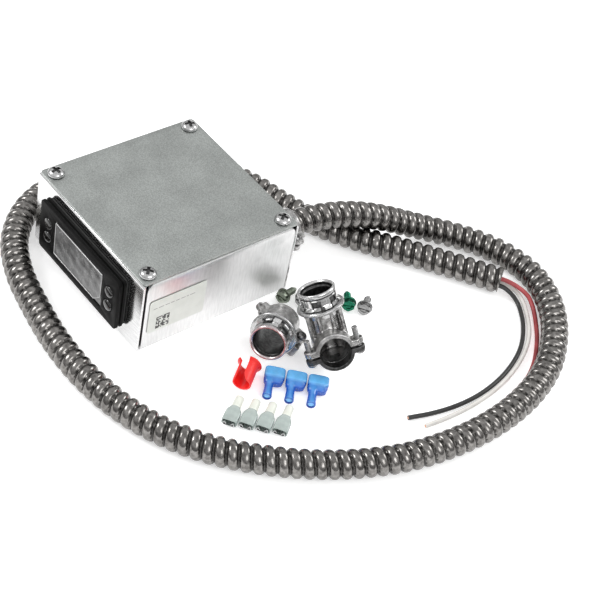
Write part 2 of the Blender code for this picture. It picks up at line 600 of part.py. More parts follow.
def make_box_connector():
    """Two-screw clamp connector in the back wall's knockout, with its locknut inside the box."""
    place = facing((EXIT_X, BACK_WALL, CONDUIT_EXIT_Z), (0, -1, 0), side=(0, 0, 1))
    shoulder = -GAP - COLLAR_THICK
    body = turned("box_connector_body", [
        (THROAT_OUTER / 2 - 0.6 * MM, THROAT_REACH), (THROAT_OUTER / 2, THROAT_REACH - 0.6 * MM),
        (THROAT_OUTER / 2, -GAP), (COLLAR_DIAMETER / 2, -GAP), (COLLAR_DIAMETER / 2, shoulder),
        (THROAT_BORE / 2, shoulder), (THROAT_BORE / 2, THROAT_REACH)], "cast_zinc", place, ring=True)
    overlap = 0.2 * MM
    grip_place = place @ Matrix.Translation((0, 0, shoulder + overlap))
    length = BOX_GRIP_LENGTH
    grip_section(body, "box_grip", grip_place, length)
    cut(body, rod("box_grip_bore", GRIP_BORE / 2, length, (0, 0, -length / 2 - overlap), place=grip_place))
    drill_ears(body, "box_grip", grip_place, length)
    strap_place = grip_place @ Matrix.Translation((0, 0, -overlap - GAP))
    strap = make_strap("box_connector_strap", strap_place, length - overlap - GAP)
    drill_ears(strap, "box_strap", grip_place, length)
    for name, side in (("box_connector_screw_left", -1), ("box_connector_screw_right", 1)):
        clamp_screw(name, ear_screw_place(grip_place, side, length), 9 * MM)
    nut_face = SHEET + GAP
    nut = turned("box_connector_locknut", [
        (LOCKNUT / 2, nut_face + LOCKNUT_THICK), (LOCKNUT / 2, nut_face),
        (THROAT_OUTER / 2 + GAP, nut_face), (THROAT_OUTER / 2 + GAP, nut_face + LOCKNUT_THICK)],
        "zinc", place, ring=True)
    for number in range(6):
        turn = place @ Matrix.Rotation(number * math.pi / 3, 4, "Z")
        cut(nut, block(f"nut_notch_{number}", (3 * MM, 3.6 * MM, 8 * MM), (LOCKNUT / 2, 0, nut_face), place=turn))


def snap_throat_outline(rim, collar_at, tail):
    """Outer side of a snap-in throat, from its rim down past the collar to the body, for a turned body."""
    neck = THROAT_OUTER / 2 - NECK_DEPTH
    return [(THROAT_OUTER / 2 - 0.5 * MM, rim), (THROAT_OUTER / 2, rim - 0.6 * MM),
            (THROAT_OUTER / 2, rim - RIM_LIP + 0.4 * MM), (neck, rim - RIM_LIP), (neck, collar_at),
            (COLLAR_DIAMETER / 2, collar_at), (COLLAR_DIAMETER / 2, collar_at - 1.8 * MM),
            (GRIP_RADIUS, collar_at - 2.6 * MM), (GRIP_RADIUS, tail)]


def make_snap_ring(name, place, rim, collar_at):
    """Spring ring round the neck: windows between its legs, and a rolled edge at the rim."""
    inner = THROAT_OUTER / 2 - NECK_DEPTH + GAP
    top = rim - RIM_LIP - GAP
    foot = collar_at + GAP
    ring = turned(name, [(inner + RING_THICK, top), (inner + 2 * RING_THICK, foot), (inner + RING_THICK, foot),
                         (inner, foot + 0.5 * MM), (inner, top)], "zinc", place, ring=True)
    for number in range(3):
        turn = place @ Matrix.Rotation(number * math.pi / 3 + math.radians(15), 4, "Z")
        cut(ring, block(f"{name}_window_{number}", (2 * COLLAR_DIAMETER, RING_WINDOW, (top - foot) * 0.5),
                        (0, 0, foot + (top - foot) * 0.5), place=turn))


def make_straight_connector():
    """Straight snap-in squeeze connector, lying on its collar with its throat raised a little."""
    place = facing(KIT_ORIGIN + Vector(STRAIGHT_RIM), STRAIGHT_AXIS, side=(0.35, 0.2, 1))
    collar_at = -SNAP_NECK
    tail = collar_at - STRAIGHT_TAIL
    inside = [(GRIP_BORE / 2, tail), (GRIP_BORE / 2, collar_at - 1 * MM), (SNAP_BORE / 2, collar_at - 0.8 * MM),
              (SNAP_BORE / 2, -1 * MM), (SNAP_BORE / 2 + 0.6 * MM, 0)]
    body = turned("straight_connector_body", snap_throat_outline(0, collar_at, tail) + inside, "cast_zinc", place,
                  ring=True)
    length = STRAIGHT_GRIP_LENGTH
    grip_place = place @ Matrix.Translation((0, 0, tail + length))
    outer = GRIP_RADIUS
    boss_root = GRIP_BORE / 2 + 0.8 * MM
    boss = block("straight_boss", (EAR_REACH - boss_root, 8 * MM, length),
                 ((EAR_REACH + boss_root) / 2, -3 * MM, -length / 2), upright=(2, 1.5 * MM), place=grip_place)
    fuse(body, boss)
    cut(body, block("straight_upper", (4 * outer, 2 * outer, length + 1 * MM),
                    (0, outer - STRAP_GAP / 2, -length / 2 - 0.5 * MM), place=grip_place))
    drill_ears(body, "straight_grip", grip_place, length, sides=(1,))
    strap_place = grip_place @ Matrix.Translation((0, 0, -GAP))
    strap = make_strap("straight_connector_strap", strap_place, length - 2 * GAP)
    drill_ears(strap, "straight_strap", grip_place, length, sides=(1,))
    clamp_screw("straight_connector_screw", ear_screw_place(grip_place, 1, length), 8 * MM)
    make_snap_ring("straight_connector_snap_ring", place, 0, collar_at)


def make_angle_connector():
    """Right-angle snap-in squeeze connector, leaning back with its throat up and its clamp mouth forward."""
    corner = KIT_ORIGIN + Vector((STRAIGHT_RIM[0] + ANGLE_FROM_STRAIGHT[0] * EAR_REACH,
                                  STRAIGHT_RIM[1] + ANGLE_FROM_STRAIGHT[1] * EAR_REACH, ANGLE_CORNER_Z))
    place = facing(corner, ANGLE_THROAT_AXIS, side=ANGLE_MOUTH_AXIS)
    rim = ANGLE_THROAT_REACH
    collar_at = rim - SNAP_NECK
    bore = GRIP_BORE / 2
    outer = GRIP_RADIUS
    well = SNAP_BORE / 2 - 1 * MM
    well_floor = CLAMP_WALL + 0.1 * MM - outer
    inside = [(0, well_floor), (well, well_floor), (well, rim - 1 * MM), (well + 1 * MM, rim)]
    heel = [(outer - CLAMP_WALL, -outer), (0, -outer)]
    body = turned("angle_connector_body", inside + snap_throat_outline(rim, collar_at, CLAMP_WALL - outer) + heel,
                  "cast_zinc", place)
    turn = Matrix(((-1, 0, 0), (0, 0, -1), (0, -1, 0))).to_4x4()
    mouth_place = place @ turn
    mouth_root = outer + 0.4 * MM
    fuse(body, rod("angle_mouth", outer - 0.4 * MM, mouth_root, (0, 0, -mouth_root / 2), place=mouth_place))
    for side in (-1, 1):
        fuse(body, block(f"angle_rib_{side}", (1.8 * MM, 4 * MM, collar_at - 3 * MM),
                         (side * (outer - 2 * MM), outer - 4 * MM, (collar_at - 3 * MM) / 2), place=place))
    grip_place = mouth_place @ Matrix.Translation((0, 0, 0.3 * MM - mouth_root))
    length = ANGLE_GRIP_LENGTH
    grip_section(body, "angle_grip", grip_place, length)
    cut(body, rod("angle_bore", bore, 2 * length + mouth_root, (0, 0, -length - mouth_root / 2), place=mouth_place))
    drill_ears(body, "angle_grip", grip_place, length)
    strap_place = grip_place @ Matrix.Translation((0, 0, -GAP - 0.3 * MM))
    strap = make_strap("angle_connector_strap", strap_place, length - GAP)
    drill_ears(strap, "angle_strap", grip_place, length)
    for name, side in (("angle_connector_screw_left", 1), ("angle_connector_screw_right", -1)):
        clamp_screw(name, ear_screw_place(grip_place, side, length), 14 * MM)
    make_snap_ring("angle_connector_snap_ring", place, rim, collar_at)


def make_bushing():
    """Split bushing that lines the conduit's cut end; its flange stands on the local origin."""
    place = facing(KIT_ORIGIN + Vector(BUSHING_PLACE), Vector(BUSHING_AXIS) * -1, side=(-0.6, -0.3, 1))
    bore = BUSHING_BORE / 2
    wall = BUSHING_WALL
    flange = bore + 3 * wall
    bushing = turned("conduit_bushing", [(flange - 0.3 * MM, 0), (flange, -0.3 * MM), (flange, -1.4 * MM),
                                         (bore + wall, -2 * MM), (bore + wall, -BUSHING_LENGTH),
                                         (bore, -BUSHING_LENGTH), (bore, -1 * MM), (bore + 0.4 * MM, 0)],
                     "bushing_red", place, ring=True)
    cut(bushing, block("slit_cutter", (BUSHING_SLIT, 2 * flange, 4 * BUSHING_LENGTH), (0, flange, 0), place=place))


def laid_places(start, row, pitch, count, turn=0):
    """Places on the floor, one pitch apart along a row, with local X along the row."""
    way = Vector((*row, 0)).normalized()
    spin = Matrix.Rotation(math.atan2(way.y, way.x) + math.radians(turn), 4, "Z")
    lift = Vector((0, 0, LAID_GAP))
    return [Matrix.Translation(KIT_ORIGIN + Vector(start) + way * pitch * number + lift) @ spin
            for number in range(count)]


def make_terminals():
    """Blue flag terminals and clear straight ones, each row lying side by side."""
    width, depth, height = FLAG_SIZE
    reach = FLAG_BARREL_LENGTH + 2 * MM
    for number, place in enumerate(laid_places(FLAG_ROW_START, FLAG_ROW, FLAG_PITCH, 3)):
        name = f"flag_terminal_{number + 1}"
        housing = block(name, FLAG_SIZE, (0, 0, height / 2), "nylon_blue", rounded=0.8 * MM, place=place)
        fuse(housing, rod(name + "_barrel", FLAG_BARREL / 2, reach,
                          (-0.2 * width, 2 * MM - (depth + reach) / 2, FLAG_BARREL / 2 + 0.4 * MM), axis="Y",
                          sides=16, place=place))
        cut(housing, block(name + "_mouth", (width - 2 * FLAG_WALL, 3 * MM, height - 2 * FLAG_WALL),
                           (0, depth / 2, height / 2), place=place))
    width, depth, height = NYLON_SIZE
    reach = NYLON_BARREL_LENGTH + 2 * MM
    for number, place in enumerate(laid_places(NYLON_ROW_START, NYLON_ROW, NYLON_PITCH, 4, NYLON_TURN)):
        name = f"nylon_terminal_{number + 1}"
        housing = block(name, NYLON_SIZE, (0, 0, height / 2), "nylon_clear", rounded=0.7 * MM, place=place)
        fuse(housing, rod(name + "_barrel", NYLON_BARREL / 2, reach,
                          (0, (depth + reach) / 2 - 2 * MM, NYLON_BARREL / 2 + 0.1 * MM), axis="Y", sides=16,
                          place=place))
        cut(housing, block(name + "_mouth", (width - 2 * NYLON_WALL, 6 * MM, height - 2 * NYLON_WALL),
                           (0, -depth / 2, height / 2), place=place))


def make_hex_screws():
    """Hex washer-head screws lying on the washer's edge and the shank's tip."""
    tilt = math.asin((HEX_WASHER - HEX_SHANK) / 2 / HEX_SHANK_LENGTH)
    rise = Vector((0, 0, HEX_WASHER / 2 * math.cos(tilt) + LAID_GAP))
    for name, (spot, way, finish) in HEX_SCREWS.items():
        axis = Vector((*way, 0)).normalized() * math.cos(tilt) + Vector((0, 0, math.sin(tilt)))
        place = facing(KIT_ORIGIN + Vector(spot) + rise, axis)
        screw = turned(name, [(0, 0.9 * MM), (HEX_WASHER / 2 - 0.3 * MM, 0.9 * MM), (HEX_WASHER / 2, 0.5 * MM),
                              (HEX_WASHER / 2, 0), (HEX_SHANK / 2, 0), (HEX_SHANK / 2, 1 * MM - HEX_SHANK_LENGTH),
                              (HEX_SHANK / 4, -HEX_SHANK_LENGTH), (0, -HEX_SHANK_LENGTH)], finish, place, sides=12)
        hexagon = HEX_ACROSS / math.sqrt(3)
        fuse(screw, rod(name + "_hex", hexagon, HEX_HEIGHT, (0, 0, HEX_HEIGHT / 2 + 0.4 * MM), sides=6, place=place))
        cut(screw, block(name + "_slot", (2 * HEX_WASHER, 1 * MM, 2 * MM), (0, 0, HEX_HEIGHT + 0.6 * MM), place=place))


def make_supply_wires():
    """Three conductors inside the box, from the conduit connector to the controller's terminal block."""
    start_y = BACK_WALL - THROAT_REACH - 0.7 * MM
    end_y = TERMINAL_BACK + GAP
    for colour, (side, rise, target) in SUPPLY_WIRES.items():
        start = Vector((EXIT_X + side, start_y, CONDUIT_EXIT_Z + rise))
        end = Vector((EXIT_X + target, end_y, FACE_Z))
        middle = (start + end) / 2
        route = [start, start - Vector((0, 5 * MM, 0)), middle + Vector((2 * MM, 0, 0)), end + Vector((0, 5 * MM, 0)),
                 end]
        tube("supply_wire_" + colour, smooth_route([point / MM for point in route], 2.4 * WIRE_DIAMETER),
             WIRE_DIAMETER, "wire_" + colour)


def make_conduit():
    route = smooth_route(CONDUIT_ROUTE, 1.25 * CONDUIT_DIAMETER)
    tube("conduit", route, CONDUIT_DIAMETER, "conduit_steel")
    for colour, points in TAIL_ROUTES.items():
        tube("tail_wire_" + colour, smooth_route(points, 2.4 * WIRE_DIAMETER), WIRE_DIAMETER, "wire_" + colour)


for old in list(bpy.data.objects):
    bpy.data.objects.remove(old, do_unlink=True)
part_collection = bpy.data.collections.new("panel_controller_box")
cutter_collection = bpy.data.collections.new("cutters")
for collection in (part_collection, cutter_collection):
    bpy.context.scene.collection.children.link(collection)

make_enclosure()
make_cover()
make_label()
make_fascia()
make_controller_case()
make_box_connector()
make_straight_connector()
make_angle_connector()
make_bushing()
make_terminals()
make_hex_screws()
make_supply_wires()
make_conduit()
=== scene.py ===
import math
import random

import bmesh
import bpy
from mathutils import Matrix, Vector


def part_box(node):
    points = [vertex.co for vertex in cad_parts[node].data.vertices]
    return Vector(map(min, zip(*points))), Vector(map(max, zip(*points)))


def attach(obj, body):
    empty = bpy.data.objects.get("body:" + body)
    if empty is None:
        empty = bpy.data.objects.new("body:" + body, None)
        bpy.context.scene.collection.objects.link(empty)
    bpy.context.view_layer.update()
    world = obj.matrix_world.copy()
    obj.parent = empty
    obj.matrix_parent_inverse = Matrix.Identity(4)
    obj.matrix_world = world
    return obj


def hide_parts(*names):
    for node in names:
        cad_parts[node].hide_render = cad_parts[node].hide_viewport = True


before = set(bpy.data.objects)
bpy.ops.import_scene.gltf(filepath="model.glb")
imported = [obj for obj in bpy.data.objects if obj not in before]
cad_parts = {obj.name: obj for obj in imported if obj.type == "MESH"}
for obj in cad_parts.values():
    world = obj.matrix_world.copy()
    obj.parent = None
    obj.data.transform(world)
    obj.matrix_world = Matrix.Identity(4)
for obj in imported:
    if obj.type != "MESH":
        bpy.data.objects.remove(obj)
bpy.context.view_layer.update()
mm = 0.001

view = {"target": (62.1, 52.6, 0), "azimuth": 42.97, "elevation": 43.74, "roll": 12.9, "distance": 895,
        "lens": 97.2, "shift": (-0.004, 0.0)}
studio = {"sky": 0.92, "horizon": 0.3, "floorTone": 0.93, "floorGlow": 0.4, "floorSize": 16.0,
          "lamps": {"key": ((-0.75, -0.75, 1.0), 0.5, 8.0), "fill": ((0.95, -0.1, 0.8), 0.6, 4.0),
                    "rim": ((0.35, 1.1, 0.7), 0.5, 4.0)}}


def lookFrom(target, azimuth, elevation, roll, distance):
    a, e, r = (math.radians(value) for value in (azimuth, elevation, roll))
    back = Vector((math.cos(e) * math.sin(a), -math.cos(e) * math.cos(a), math.sin(e)))
    level = Vector((math.cos(a), math.sin(a), 0))
    upright = back.cross(level)
    right = level * math.cos(r) + upright * math.sin(r)
    up = upright * math.cos(r) - level * math.sin(r)
    turn = Matrix((right, up, back)).transposed().to_4x4()
    return Matrix.Translation(Vector(target) + back * distance) @ turn


def makeCamera():
    lens = bpy.data.cameras.new("camera")
    lens.sensor_width = 36
    lens.lens = view["lens"]
    lens.shift_x, lens.shift_y = view["shift"]
    lens.clip_start = 0.01
    camera = bpy.data.objects.new("camera", lens)
    target = Vector(view["target"]) * mm
    camera.matrix_world = lookFrom(target, view["azimuth"], view["elevation"], view["roll"], view["distance"] * mm)
    bpy.context.scene.collection.objects.link(camera)
    bpy.context.scene.camera = camera


def makeStudio():
    world = bpy.data.worlds.new("studio")
    world.use_nodes = True
    nodes, links = world.node_tree.nodes, world.node_tree.links
    where = nodes.new("ShaderNodeTexCoord")
    split = nodes.new("ShaderNodeSeparateXYZ")
    ramp = nodes.new("ShaderNodeValToRGB")
    ramp.color_ramp.elements[0].position = 0.52
    ramp.color_ramp.elements[0].color = (studio["horizon"],) * 3 + (1,)
    ramp.color_ramp.elements[1].position = 0.78
    ramp.color_ramp.elements[1].color = (studio["sky"],) * 3 + (1,)
    half = nodes.new("ShaderNodeMath")
    half.operation = "MULTIPLY_ADD"
    half.inputs[1].default_value = half.inputs[2].default_value = 0.5
    links.new(where.outputs["Generated"], split.inputs[0])
    links.new(split.outputs["Z"], half.inputs[0])
    links.new(half.outputs[0], ramp.inputs[0])
    links.new(ramp.outputs[0], nodes["Background"].inputs["Color"])
    bpy.context.scene.world = world
    for name, (place, size, power) in studio["lamps"].items():
        lamp = bpy.data.lights.new(name, "AREA")
        lamp.size = size
        lamp.energy = power
        holder = bpy.data.objects.new(name, lamp)
        aim = Vector(view["target"]) * mm - Vector(place)
        holder.matrix_world = Matrix.Translation(place) @ aim.to_track_quat("-Z", "Y").to_matrix().to_4x4()
        bpy.context.scene.collection.objects.link(holder)
    bm = bmesh.new()
    bmesh.ops.create_grid(bm, x_segments=1, y_segments=1, size=studio["floorSize"] / 2)
    floor = linkMesh("floor", bm)
    floor.location.z = -0.0002
    floor.data.materials.append(floorFinish())
    bpy.context.scene.view_settings.view_transform = "Standard"


def newFinish(name, colour=(0.5, 0.5, 0.5), **sockets):
    finish = bpy.data.materials.new(name)
    finish.use_nodes = True
    shader = finish.node_tree.nodes["Principled BSDF"]
    shader.inputs["Base Color"].default_value = (*colour, 1)
    for socket, value in sockets.items():
        shader.inputs[socket].default_value = value
    finish.diffuse_color = (*colour, 1)
    return finish


def addNoise(finish, scale, detail=3, stretch=(1, 1, 1), kind="ShaderNodeTexNoise"):
    nodes, links = finish.node_tree.nodes, finish.node_tree.links
    where = nodes.get("where") or nodes.new("ShaderNodeTexCoord")
    where.name = "where"
    turn = nodes.new("ShaderNodeMapping")
    turn.inputs["Scale"].default_value = stretch
    noise = nodes.new(kind)
    noise.inputs["Scale"].default_value = scale
    if kind == "ShaderNodeTexNoise":
        noise.inputs["Detail"].default_value = detail
    links.new(where.outputs["Object"], turn.inputs[0])
    links.new(turn.outputs[0], noise.inputs["Vector"])
    return noise.outputs["Fac" if kind == "ShaderNodeTexNoise" else "Distance"]


def addRamp(finish, value, stops):
    nodes, links = finish.node_tree.nodes, finish.node_tree.links
    ramp = nodes.new("ShaderNodeValToRGB")
    while len(ramp.color_ramp.elements) < len(stops):
        ramp.color_ramp.elements.new(0.5)
    for element, (position, colour) in zip(ramp.color_ramp.elements, stops):
        element.position = position
        element.color = (*colour, 1)
    links.new(value, ramp.inputs[0])
    return ramp.outputs[0]


def blendColours(finish, first, second, share, mode="MULTIPLY"):
    nodes, links = finish.node_tree.nodes, finish.node_tree.links
    mix = nodes.new("ShaderNodeMix")
    mix.data_type = "RGBA"
    mix.blend_type = mode
    if isinstance(share, float):
        mix.inputs[0].default_value = share
    else:
        links.new(share, mix.inputs[0])
    links.new(first, mix.inputs[6])
    links.new(second, mix.inputs[7])
    return mix.outputs[2]


def setColour(finish, value):
    finish.node_tree.links.new(value, finish.node_tree.nodes["Principled BSDF"].inputs["Base Color"])


def setRoughness(finish, value, low, high):
    nodes, links = finish.node_tree.nodes, finish.node_tree.links
    span = nodes.new("ShaderNodeMapRange")
    span.inputs["From Min"].default_value = 0.3
    span.inputs["From Max"].default_value = 0.7
    span.inputs["To Min"].default_value = low
    span.inputs["To Max"].default_value = high
    links.new(value, span.inputs["Value"])
    links.new(span.outputs[0], nodes["Principled BSDF"].inputs["Roughness"])


def setBump(finish, value, strength, depth):
    nodes, links = finish.node_tree.nodes, finish.node_tree.links
    bump = nodes.new("ShaderNodeBump")
    bump.inputs["Strength"].default_value = strength
    bump.inputs["Distance"].default_value = depth
    links.new(value, bump.inputs["Height"])
    links.new(bump.outputs[0], nodes["Principled BSDF"].inputs["Normal"])


def grey(tone, warm=0.0):
    return (tone * (1 + warm), tone, tone * (1 - warm))


def metalFinish(name, dark, light, roughness, grain, bump, stretch=(1, 1, 1), patch=90):
    # metal with a fine grain over larger soft patches
    finish = newFinish(name, light, Metallic=1.0)
    fine = addNoise(finish, grain, 4, stretch)
    broad = addNoise(finish, patch, 2)
    tone = addRamp(finish, fine, [(0.34, dark), (0.66, light)])
    wash = addRamp(finish, broad, [(0.35, grey(0.86)), (0.65, grey(1.0))])
    setColour(finish, blendColours(finish, tone, wash, 1.0))
    setRoughness(finish, broad, *roughness)
    setBump(finish, fine, bump, 0.1 * mm)
    return finish


def plasticFinish(name, dark, light, roughness, grain=1800, bump=0.15, sockets=()):
    # moulded plastic: fine bump, and a soft change of tone over the piece
    finish = newFinish(name, light, **{"Coat Roughness": 0.1, **dict(sockets)})
    fine = addNoise(finish, grain, 3)
    broad = addNoise(finish, 120, 2)
    setColour(finish, addRamp(finish, broad, [(0.35, dark), (0.65, light)]))
    setRoughness(finish, broad, *roughness)
    setBump(finish, fine, bump, 0.05 * mm)
    return finish


def floorFinish():
    sockets = {"Roughness": 0.9, "Emission Color": (1, 1, 1, 1), "Emission Strength": studio["floorGlow"]}
    finish = newFinish("floorPaper", grey(studio["floorTone"]), **sockets)
    soft = addNoise(finish, 3, 2)
    low, high = grey(studio["floorTone"] - 0.01), grey(studio["floorTone"] + 0.01)
    setColour(finish, addRamp(finish, soft, [(0.3, low), (0.7, high)]))
    return finish


def heightShadedFinish(name, low, middle, high, span, sockets):
    # translucent moulding with painted light: painted shade, deeper in colour, near the floor and a painted highlight,
    # paler, towards its top
    finish = newFinish(name, high, **sockets)
    nodes, links = finish.node_tree.nodes, finish.node_tree.links
    spot = nodes.new("ShaderNodeNewGeometry")
    split = nodes.new("ShaderNodeSeparateXYZ")
    height = nodes.new("ShaderNodeMapRange")
    height.inputs["From Min"].default_value, height.inputs["From Max"].default_value = (z * mm for z in span)
    links.new(spot.outputs["Position"], split.inputs[0])
    links.new(split.outputs["Z"], height.inputs["Value"])
    wash = addNoise(finish, 260, 2)
    # painted shade low down and painted light high up, by height above the floor
    tone = addRamp(finish, height.outputs[0], [(0.0, low), (0.72, middle), (1.0, high)])
    cloud = addRamp(finish, wash, [(0.35, grey(0.85)), (0.65, grey(1.0))])
    setColour(finish, blendColours(finish, tone, cloud, 1.0))
    setRoughness(finish, wash, 0.16, 0.28)
    setBump(finish, addNoise(finish, 900, 2), 0.1, 0.05 * mm)
    return finish


# metals: name, dark tone, light tone, roughness range, fineness of the grain, bump, stretch and patches
# plastics: the same as far as the bump, then other sockets
metals = {
    "cover": ("spangledZinc", (0.33, 0.345, 0.335), (0.5, 0.525, 0.51), (0.36, 0.48), 1500, 0.6,
              (1, 1, 1), 45),
    "walls": ("rolledZinc", grey(0.68), grey(0.8), (0.16, 0.24), 900, 0.08, (1, 1, 0.15), 30),
    "panels": ("rolledZincPanel", grey(0.72), grey(0.82), (0.34, 0.42), 900, 0.08, (1, 0.15, 1), 30),
    "zinc": ("brightZinc", grey(0.42), grey(0.6), (0.16, 0.26), 1400, 0.1),
    "dullZinc": ("dullZinc", grey(0.2), grey(0.36), (0.2, 0.32), 1200, 0.2),
    "snap": ("springSteel", grey(0.6), grey(0.85), (0.1, 0.2), 1200, 0.1),
    "cast": ("castZinc", grey(0.28, 0.01), grey(0.58, 0.01), (0.2, 0.38), 420, 0.9),
    # near-black cast zinc: painted shade down bores, in screw recesses and on necks behind the snap rings; also the
    # right-angle connector's strap
    "darkCast": ("darkCastZinc", grey(0.06), grey(0.14), (0.3, 0.45), 700, 0.6),
    "rimCast": ("machinedZinc", (0.5, 0.42, 0.43), (0.68, 0.59, 0.6), (0.15, 0.25), 900, 0.1),
    "conduit": ("conduitStrip", grey(0.13, 0.05), grey(0.27, 0.04), (0.16, 0.27), 520, 0.25, (1, 1, 1), 60),
    # painted shade for the conduit's grooves and its bored end
    "groove": ("conduitGroove", grey(0.05, 0.05), grey(0.1, 0.04), (0.3, 0.45), 520, 0.18, (1, 1, 1), 60),
    "greenScrew": ("greenZinc", (0.01, 0.09, 0.05), (0.03, 0.2, 0.12), (0.2, 0.34), 900, 0.2),
    "darkScrew": ("oliveZinc", (0.12, 0.14, 0.11), (0.24, 0.27, 0.22), (0.25, 0.4), 900, 0.3),
    "core": ("laminations", grey(0.1), grey(0.25), (0.4, 0.55), 400, 0.5, (1, 8, 1)),
    "tinned": ("tinnedBrass", grey(0.55), grey(0.72), (0.15, 0.3), 800, 0.2),
    "copper": ("copperStrand", (0.55, 0.3, 0.2), (0.8, 0.45, 0.32), (0.25, 0.35), 1500, 0.3)}
plastics = {
    "face": ("facePlastic", grey(0.003), grey(0.007), (0.42, 0.52), 1600, 0.25, {"Specular IOR Level": 0.08}),
    "case": ("casePlastic", grey(0.02), grey(0.03), (0.45, 0.6), 1400, 0.4),
    "key": ("keyPlastic", grey(0.002), grey(0.005), (0.1, 0.18), 900, 0.05, {"Coat Weight": 0.5}),
    "gasket": ("gasketRubber", grey(0.02), grey(0.03), (0.7, 0.85), 1500, 0.5),
    "board": ("boardMask", (0.01, 0.08, 0.03), (0.02, 0.14, 0.06), (0.3, 0.45), 800, 0.3),
    "relay": ("relayCase", (0.02, 0.1, 0.35), (0.04, 0.15, 0.45), (0.25, 0.35), 900, 0.15),
    "black": ("blackInsulation", grey(0.012), grey(0.022), (0.28, 0.4), 900, 0.15),
    "white": ("whiteInsulation", (0.66, 0.64, 0.61), (0.76, 0.74, 0.71), (0.3, 0.4), 900, 0.15),
    "red": ("redInsulation", (0.26, 0.03, 0.035), (0.4, 0.06, 0.065), (0.28, 0.4), 900, 0.15),
    "bushing": ("bushingNylon", (0.75, 0.012, 0.012), (0.9, 0.03, 0.025), (0.28, 0.4), 700, 0.2,
                {"Subsurface Weight": 0.2, "Subsurface Scale": 0.002}),
    "blueEnd": ("blueNylonEnd", (0.12, 0.42, 0.9), (0.25, 0.62, 1.0), (0.15, 0.25), 1800, 0.15,
                {"Coat Weight": 0.4}),
    "clearEnd": ("clearNylonEnd", (0.74, 0.77, 0.7), (0.86, 0.88, 0.8), (0.25, 0.35), 1800, 0.15,
                 {"Coat Weight": 0.2, "Transmission Weight": 0.25}),
    "label": ("labelFilm", (0.6, 0.62, 0.58), (0.66, 0.68, 0.64), (0.3, 0.38), 400, 0.1, {"Coat Weight": 0.2}),
    "ink": ("labelInk", grey(0.03), grey(0.06), (0.4, 0.5)),
    "paleInk": ("labelPaleInk", grey(0.2), grey(0.26), (0.4, 0.5)),
    "lens": ("windowPlastic", grey(0.05), grey(0.09), (0.1, 0.2), 300, 0.05, {"Coat Weight": 0.5}),
    "filmRim": ("filmRim", grey(0.4), grey(0.55), (0.15, 0.25), 1800, 0.15, {"Coat Weight": 0.4})}
# translucent mouldings with painted light: name, colour with painted shade at the bottom, in the middle and with
# painted light at the top, and the heights of bottom and top
heightShadedMouldings = {
    "blue": ("blueNylon", (0.0, 0.03, 0.3), (0.01, 0.12, 0.6), (0.16, 0.54, 1.0), (0.5, 6.2),
             {"Transmission Weight": 0.15, "IOR": 1.5, "Coat Weight": 0.4}),
    "clear": ("clearNylon", (0.3, 0.38, 0.36), (0.44, 0.53, 0.5), (0.62, 0.7, 0.67), (0.2, 5),
              {"Transmission Weight": 0.35, "IOR": 1.48, "Coat Weight": 0.3})}


def makeFinishes():
    made = {"film": filmFinish()}
    for table, make in ((metals, metalFinish), (plastics, plasticFinish), (heightShadedMouldings, heightShadedFinish)):
        made.update({key: make(*values) for key, values in table.items()})
    return made


def filmFinish():
    # wrinkled see-through film over the window, greyer in its creases as painted shade
    finish = newFinish("windowFilm", grey(0.45), **{"Coat Weight": 0.5, "Coat Roughness": 0.08})
    crease = addNoise(finish, 240, 5, (1, 1, 0.5))
    cloud = addNoise(finish, 45, 2)
    # painted shade: darker where the crease noise sinks
    tone = addRamp(finish, crease, [(0.25, grey(0.09)), (0.5, grey(0.14)), (0.78, grey(0.24))])
    wash = addRamp(finish, cloud, [(0.3, grey(0.75)), (0.7, grey(1.0))])
    setColour(finish, blendColours(finish, tone, wash, 1.0))
    setRoughness(finish, crease, 0.14, 0.3)
    setBump(finish, crease, 0.5, 0.4 * mm)
    return finish


def linkMesh(name, bm, place=Matrix()):
    mesh = bpy.data.meshes.new(name)
    bm.to_mesh(mesh)
    bm.free()
    made = bpy.data.objects.new(name, mesh)
    made.matrix_world = place
    bpy.context.scene.collection.objects.link(made)
    return made


def smoothShade(piece, angle=35):
    piece.data.shade_smooth()
    piece.data.set_sharp_from_angle(angle=math.radians(angle))


def bake(piece):
    # turn a piece's modifiers into its mesh
    bpy.context.view_layer.update()
    graph = bpy.context.evaluated_depsgraph_get()
    mesh = bpy.data.meshes.new_from_object(piece.evaluated_get(graph))
    old = piece.data
    piece.modifiers.clear()
    piece.data = mesh
    bpy.data.meshes.remove(old)
    return piece


def combine(target, operation, tools):
    for tool in tools:
        modifier = target.modifiers.new(operation.lower(), "BOOLEAN")
        modifier.operation = operation
        modifier.object = tool
    bake(target)
    for tool in tools:
        bpy.data.objects.remove(tool, do_unlink=True)
    return target


def bevelEdges(piece, width, angle=40):
    modifier = piece.modifiers.new("bevel", "BEVEL")
    modifier.width = width
    modifier.segments = 2
    modifier.limit_method = "ANGLE"
    modifier.angle_limit = math.radians(angle)


def thicken(piece, thickness, offset=-1.0, even=False):
    modifier = piece.modifiers.new("thick", "SOLIDIFY")
    modifier.thickness = thickness
    modifier.offset = offset
    modifier.use_even_offset = even


def skinRows(bm, rows):
    # an open sheet through rows of points
    for lower, upper in zip(rows, rows[1:]):
        for step in range(len(lower) - 1):
            bm.faces.new((lower[step], lower[step + 1], upper[step + 1], upper[step]))


def finishPiece(piece, finish, stands=(), body="root", angle=35, bevel=0.0):
    if bevel:
        bevelEdges(piece, bevel)
        bake(piece)
    smoothShade(piece, angle)
    piece.data.materials.clear()
    piece.data.materials.append(finishes[finish])
    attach(piece, body)
    if stands:
        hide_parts(*stands)
    return piece


